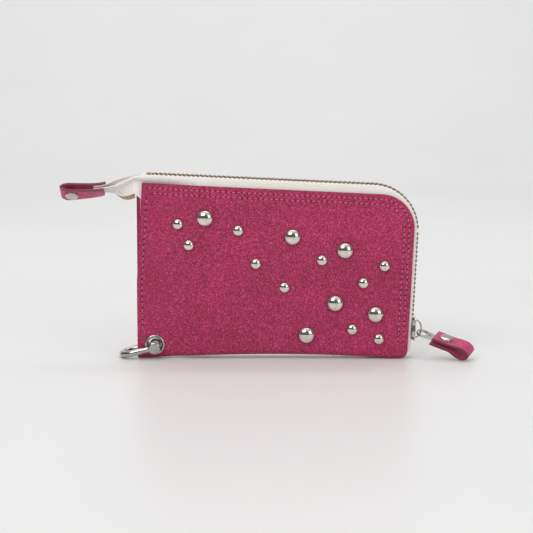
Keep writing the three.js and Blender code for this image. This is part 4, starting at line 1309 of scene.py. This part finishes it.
# ---- eyelet and shackle ----
def add_eyelet():
    face = EYELET_FACE
    rim, bore = EYELET_FLANGE_RADIUS, EYELET_BORE
    centre = Matrix.Translation((EYELET_X, 0, EYELET_Z)) @ Matrix.Rotation(math.pi, 4, "Z")
    roll = quarter(((rim + bore) / 2 + 0.05, face + 0.15), ((rim - bore) / 2 - 0.05, 0.95), 0, 180, 14)
    grommet = [
        (bore, -face - 0.45), (bore + 0.5, -face - 0.45), (bore + 0.5, face - 0.1),
        (rim - 0.3, face - 0.1), *roll,
    ]
    washer_roll = quarter(((rim + bore) / 2 + 0.3, -face - 0.1), ((rim - bore) / 2 - 0.3, 0.6), 0, -180, 10)
    washer = [(bore + 0.6, -face + 0.05), (rim - 0.2, -face + 0.05), *washer_roll]
    for name, profile in (("eyelet", grommet), ("eyelet_washer", washer)):
        shape = Shape().lathe(profile, centre, 72)
        make_piece(name + "_turned", "wallet", shape, "polished_metal", name)


PIN_Z = EYELET_Z - SHACKLE_PIN_DROP
SHACKLE_REACH = SHACKLE_STRAIGHT + SHACKLE_HALF_SPREAD
SHACKLE_TILT = math.asin((PIN_Z - SHACKLE_BAR_RADIUS - 0.05) / SHACKLE_REACH)
SHACKLE_FRAME = Matrix.Translation((EYELET_X, 0, PIN_Z)) @ Matrix.Rotation(-SHACKLE_TILT, 4, "Y")


def shackle_place(x, y, z):
    return tuple(SHACKLE_FRAME @ Vector((x, y, z)))


def add_shackle():
    """A forged bow: a round bar bent in a half circle, its two ends flattened into ears."""
    spread = SHACKLE_HALF_SPREAD
    line = [Vector((x, -spread)) for x in evenly(-1, -SHACKLE_STRAIGHT, 10)]
    for i in range(1, 32):
        turn = math.pi * i / 32
        line.append(Vector((-SHACKLE_STRAIGHT - spread * math.sin(turn), -spread * math.cos(turn))))
    line += [Vector((x, spread)) for x in evenly(-SHACKLE_STRAIGHT, -1, 10)]
    rings = []
    for i, centre in enumerate(line):
        tangent = (line[min(i + 1, len(line) - 1)] - line[max(i - 1, 0)]).normalized()
        waist = 1 - 0.10 * math.exp(-((centre.x + 6) / 2.5) ** 2)
        rings.append([
            shackle_place(centre.x - tangent.y * a * waist, centre.y + tangent.x * a * waist, b * waist)
            for a, b in circle(SHACKLE_BAR_RADIUS, 20)
        ])
    shape = Shape().tube(rings)
    half = SHACKLE_EAR_THICKNESS / 2
    for side in (-1, 1):
        ear = Matrix.Translation((0, side * spread, 0))
        profile = [
            (0, -half), (SHACKLE_EAR_RADIUS - 0.7, -half), (SHACKLE_EAR_RADIUS - 0.15, -half + 0.3),
            (SHACKLE_EAR_RADIUS, -half + 0.9), (SHACKLE_EAR_RADIUS, half - 0.9),
            (SHACKLE_EAR_RADIUS - 0.15, half - 0.3), (SHACKLE_EAR_RADIUS - 0.7, half), (0, half),
        ]
        shape.lathe(profile, SHACKLE_FRAME @ ear, 40)
    bow = make_piece("shackle_forging", "shackle", shape, "polished_metal", "shackle_bow")
    cast(bow, 0.24, 6)
    drill = Shape().tube([
        [shackle_place(a, y, b) for a, b in circle(PIN_RADIUS + 0.15, 40)]
        for y in (-spread - 6, spread + 6)
    ])
    cut_away(bow, drill)
    bow.data.shade_smooth()
    bow.data.set_sharp_from_angle(angle=math.radians(50))
    bow.data.materials.clear()
    bow.data.materials.append(POLISHED)


def add_shackle_pin():
    """A screw pin: a slotted round head on the studded side and a rounded end on the other."""
    outside = SHACKLE_HALF_SPREAD + SHACKLE_EAR_THICKNESS / 2
    head = outside + 0.05
    rim = PIN_HEAD_RADIUS
    edge = quarter((rim - 0.35, head + 0.75), (0.35, 0.45), 0, 90, 6)
    profile = [
        (0, -outside - 0.7), (PIN_RADIUS - 0.6, -outside - 0.65), (PIN_RADIUS - 0.2, -outside - 0.45),
        (PIN_RADIUS, -outside), (PIN_RADIUS, head), (rim - 0.1, head), (rim, head + 0.15), *edge,
        (0, head + 1.25),
    ]
    turned = SHACKLE_FRAME @ Matrix.Rotation(math.pi, 4, "Z")
    shape = Shape().lathe(profile, turned, 56)
    pin = make_piece("shackle_screw_pin", "shackle_screw", shape, "polished_metal", "shackle_pin")
    cut_away(pin, screw_slot(turned, head + 0.5))
    pin.data.shade_smooth()
    pin.data.set_sharp_from_angle(angle=math.radians(35))


def screw_slot(turned, floor):
    """The slot cut across the pin's head, on the slant and down to its floor."""
    corners = [(-5, -0.4), (5, -0.4), (5, 0.4), (-5, 0.4)]
    cos, sin = math.cos(math.radians(45)), math.sin(math.radians(45))
    return Shape().tube([
        [turned @ Vector((a * cos + b * sin, y, -a * sin + b * cos)) for a, b in corners]
        for y in (floor, floor + 3.5)
    ])


# ---- studs ----
def stud_frame(x, z):
    slope = 0.0
    if SEAM_WIDTH < x < SEAM_WIDTH + PINCH_WIDTH:
        slope = (INNER_HALF - SEAM_INNER_HALF) / PINCH_WIDTH
    place = Matrix.Translation((x, -(INNER_HALF - pinch_at(x) + LEATHER), z))
    return place @ Matrix.Rotation(math.pi - math.atan(slope), 4, "Z")


def add_studs():
    """Round domes on a short neck, each riveted to a washer behind the leather."""
    kinds = (("large_stud", LARGE_STUD_PLACES, LARGE_STUD), ("small_stud", SMALL_STUD_PLACES, SMALL_STUD))
    for name, places, stud in kinds:
        radius, height = stud["radius"], stud["height"]
        dome = quarter((0, 0.2), (radius * DOME_SPREAD, height - 0.2), 0, 90, 22)
        foot, post = stud["foot"], stud["post"]
        back = LEATHER + 0.12
        profile = [
            (0, -LEATHER - 0.68), (foot, -LEATHER - 0.68), (foot, -back), (post, -back), (post, -0.05),
            (radius - 0.35, -0.05), (radius - 0.08, 0.08), *dome,
        ]
        for i, (along, up) in enumerate(places):
            node = f"{name}_{i + 1}"
            shape = Shape().lathe(profile, stud_frame(along * FOLD_LENGTH, up * LEFT_HEIGHT), 64)
            make_piece(node + "_dome", "wallet", shape, "stud_metal", node)


# ---- studio ----
CAMERA_ELEVATION = math.radians(8)
CAMERA_DISTANCE = 0.9
CAMERA_LENS = 108.5
CAMERA_TARGET = ORIGIN + Vector((72.98, -6.0, 52.7)) * MM


def add_floor():
    """A seamless sheet: flat under the wallet and curving up well behind it."""
    reach, rise_at, radius, top = 2.4, 1.0, 0.7, 2.2
    profile = [(-reach, 0.0), (0.0, 0.0), (rise_at * 0.6, 0.0)]
    profile += [
        (rise_at + radius * math.sin(a), radius * (1 - math.cos(a)))
        for a in evenly(0, math.pi / 2, 24)
    ]
    profile.append((rise_at + radius, top))
    points, faces = [], []
    for x in (-reach, reach):
        points += [(x, y, z - 0.0002) for y, z in profile]
    count = len(profile)
    for i in range(count - 1):
        faces.append((i, count + i, count + i + 1, i + 1))
    mesh = bpy.data.meshes.new("floor")
    mesh.from_pydata(points, [], faces)
    mesh.shade_smooth()
    mesh.materials.append(pale_surface())
    floor = put_in_scene("floor", mesh)


def add_light(name, place, target, size, power):
    data = bpy.data.lights.new(name, "AREA")
    data.shape = "RECTANGLE"
    data.size, data.size_y = size
    data.energy = power
    aim(put_in_scene(name, data), Vector(place), Vector(target) - Vector(place))


def aim(thing, place, direction):
    thing.location = place
    thing.rotation_mode = "QUATERNION"
    thing.rotation_quaternion = direction.to_track_quat("-Z", "Y")


def add_world():
    """An even pale room, darker near the horizon where polished metal would see the far walls."""
    world = bpy.data.worlds.new("studio")
    bpy.context.scene.world = world
    world.use_nodes = True
    tree = world.node_tree
    background = tree.nodes["Background"]
    where = tree.nodes.new("ShaderNodeTexCoord")
    parts = tree.nodes.new("ShaderNodeSeparateXYZ")
    ramp = tree.nodes.new("ShaderNodeValToRGB")
    path = tree.nodes.new("ShaderNodeLightPath")
    mix = tree.nodes.new("ShaderNodeMix")
    mix.data_type = "RGBA"
    stops = ((0.0, 0.5), (0.02, 0.12), (0.3, 0.14), (0.6, 0.25), (0.8, 0.8), (1.0, 1.0))
    fill_ramp(ramp.color_ramp, [(position, gray(value)) for position, value in stops])
    tree.links.new(where.outputs["Generated"], parts.inputs[0])
    tree.links.new(parts.outputs["Z"], ramp.inputs["Fac"])
    tree.links.new(path.outputs["Is Glossy Ray"], mix.inputs[0])
    mix.inputs[6].default_value = (0.80, 0.80, 0.795, 1)
    tree.links.new(ramp.outputs["Color"], mix.inputs[7])
    tree.links.new(mix.outputs[2], background.inputs["Color"])
    background.inputs["Strength"].default_value = 0.92


def add_studio():
    add_floor()
    add_world()
    add_light("key", (-0.55, -0.9, 0.95), (0, 0, 0.05), (0.8, 0.6), 5.4)
    add_light("fill", (0.8, -0.8, 0.5), (0, 0, 0.05), (0.7, 0.7), 2.4)
    add_light("top", (0, 0.1, 1.2), (0, 0, 0), (1.0, 0.8), 2.0)
    add_light("backdrop", (0, 0.5, 1.3), (0, 1.5, 0.5), (1.6, 0.6), 6.0)
    data = bpy.data.cameras.new("camera")
    data.lens = CAMERA_LENS
    data.sensor_width = 36
    camera = put_in_scene("camera", data)
    back = Vector((0, -math.cos(CAMERA_ELEVATION), math.sin(CAMERA_ELEVATION)))
    aim(camera, CAMERA_TARGET + back * CAMERA_DISTANCE, -back)
    bpy.context.scene.camera = camera
    bpy.context.scene.view_settings.view_transform = "Standard"


add_leather()
add_lining("front_lining", -1, True)
add_lining("back_lining", 1, False)
for slot_index, slot_top in enumerate(CARD_SLOT_TOPS):
    add_card_slot(slot_index, slot_top)
add_seams()
add_tapes()
add_chain()
add_stops()
add_slider()
add_bridge()
add_puller()
add_pull_tab()
add_tail()
add_eyelet()
add_shackle()
add_shackle_pin()
add_studs()
add_studio()
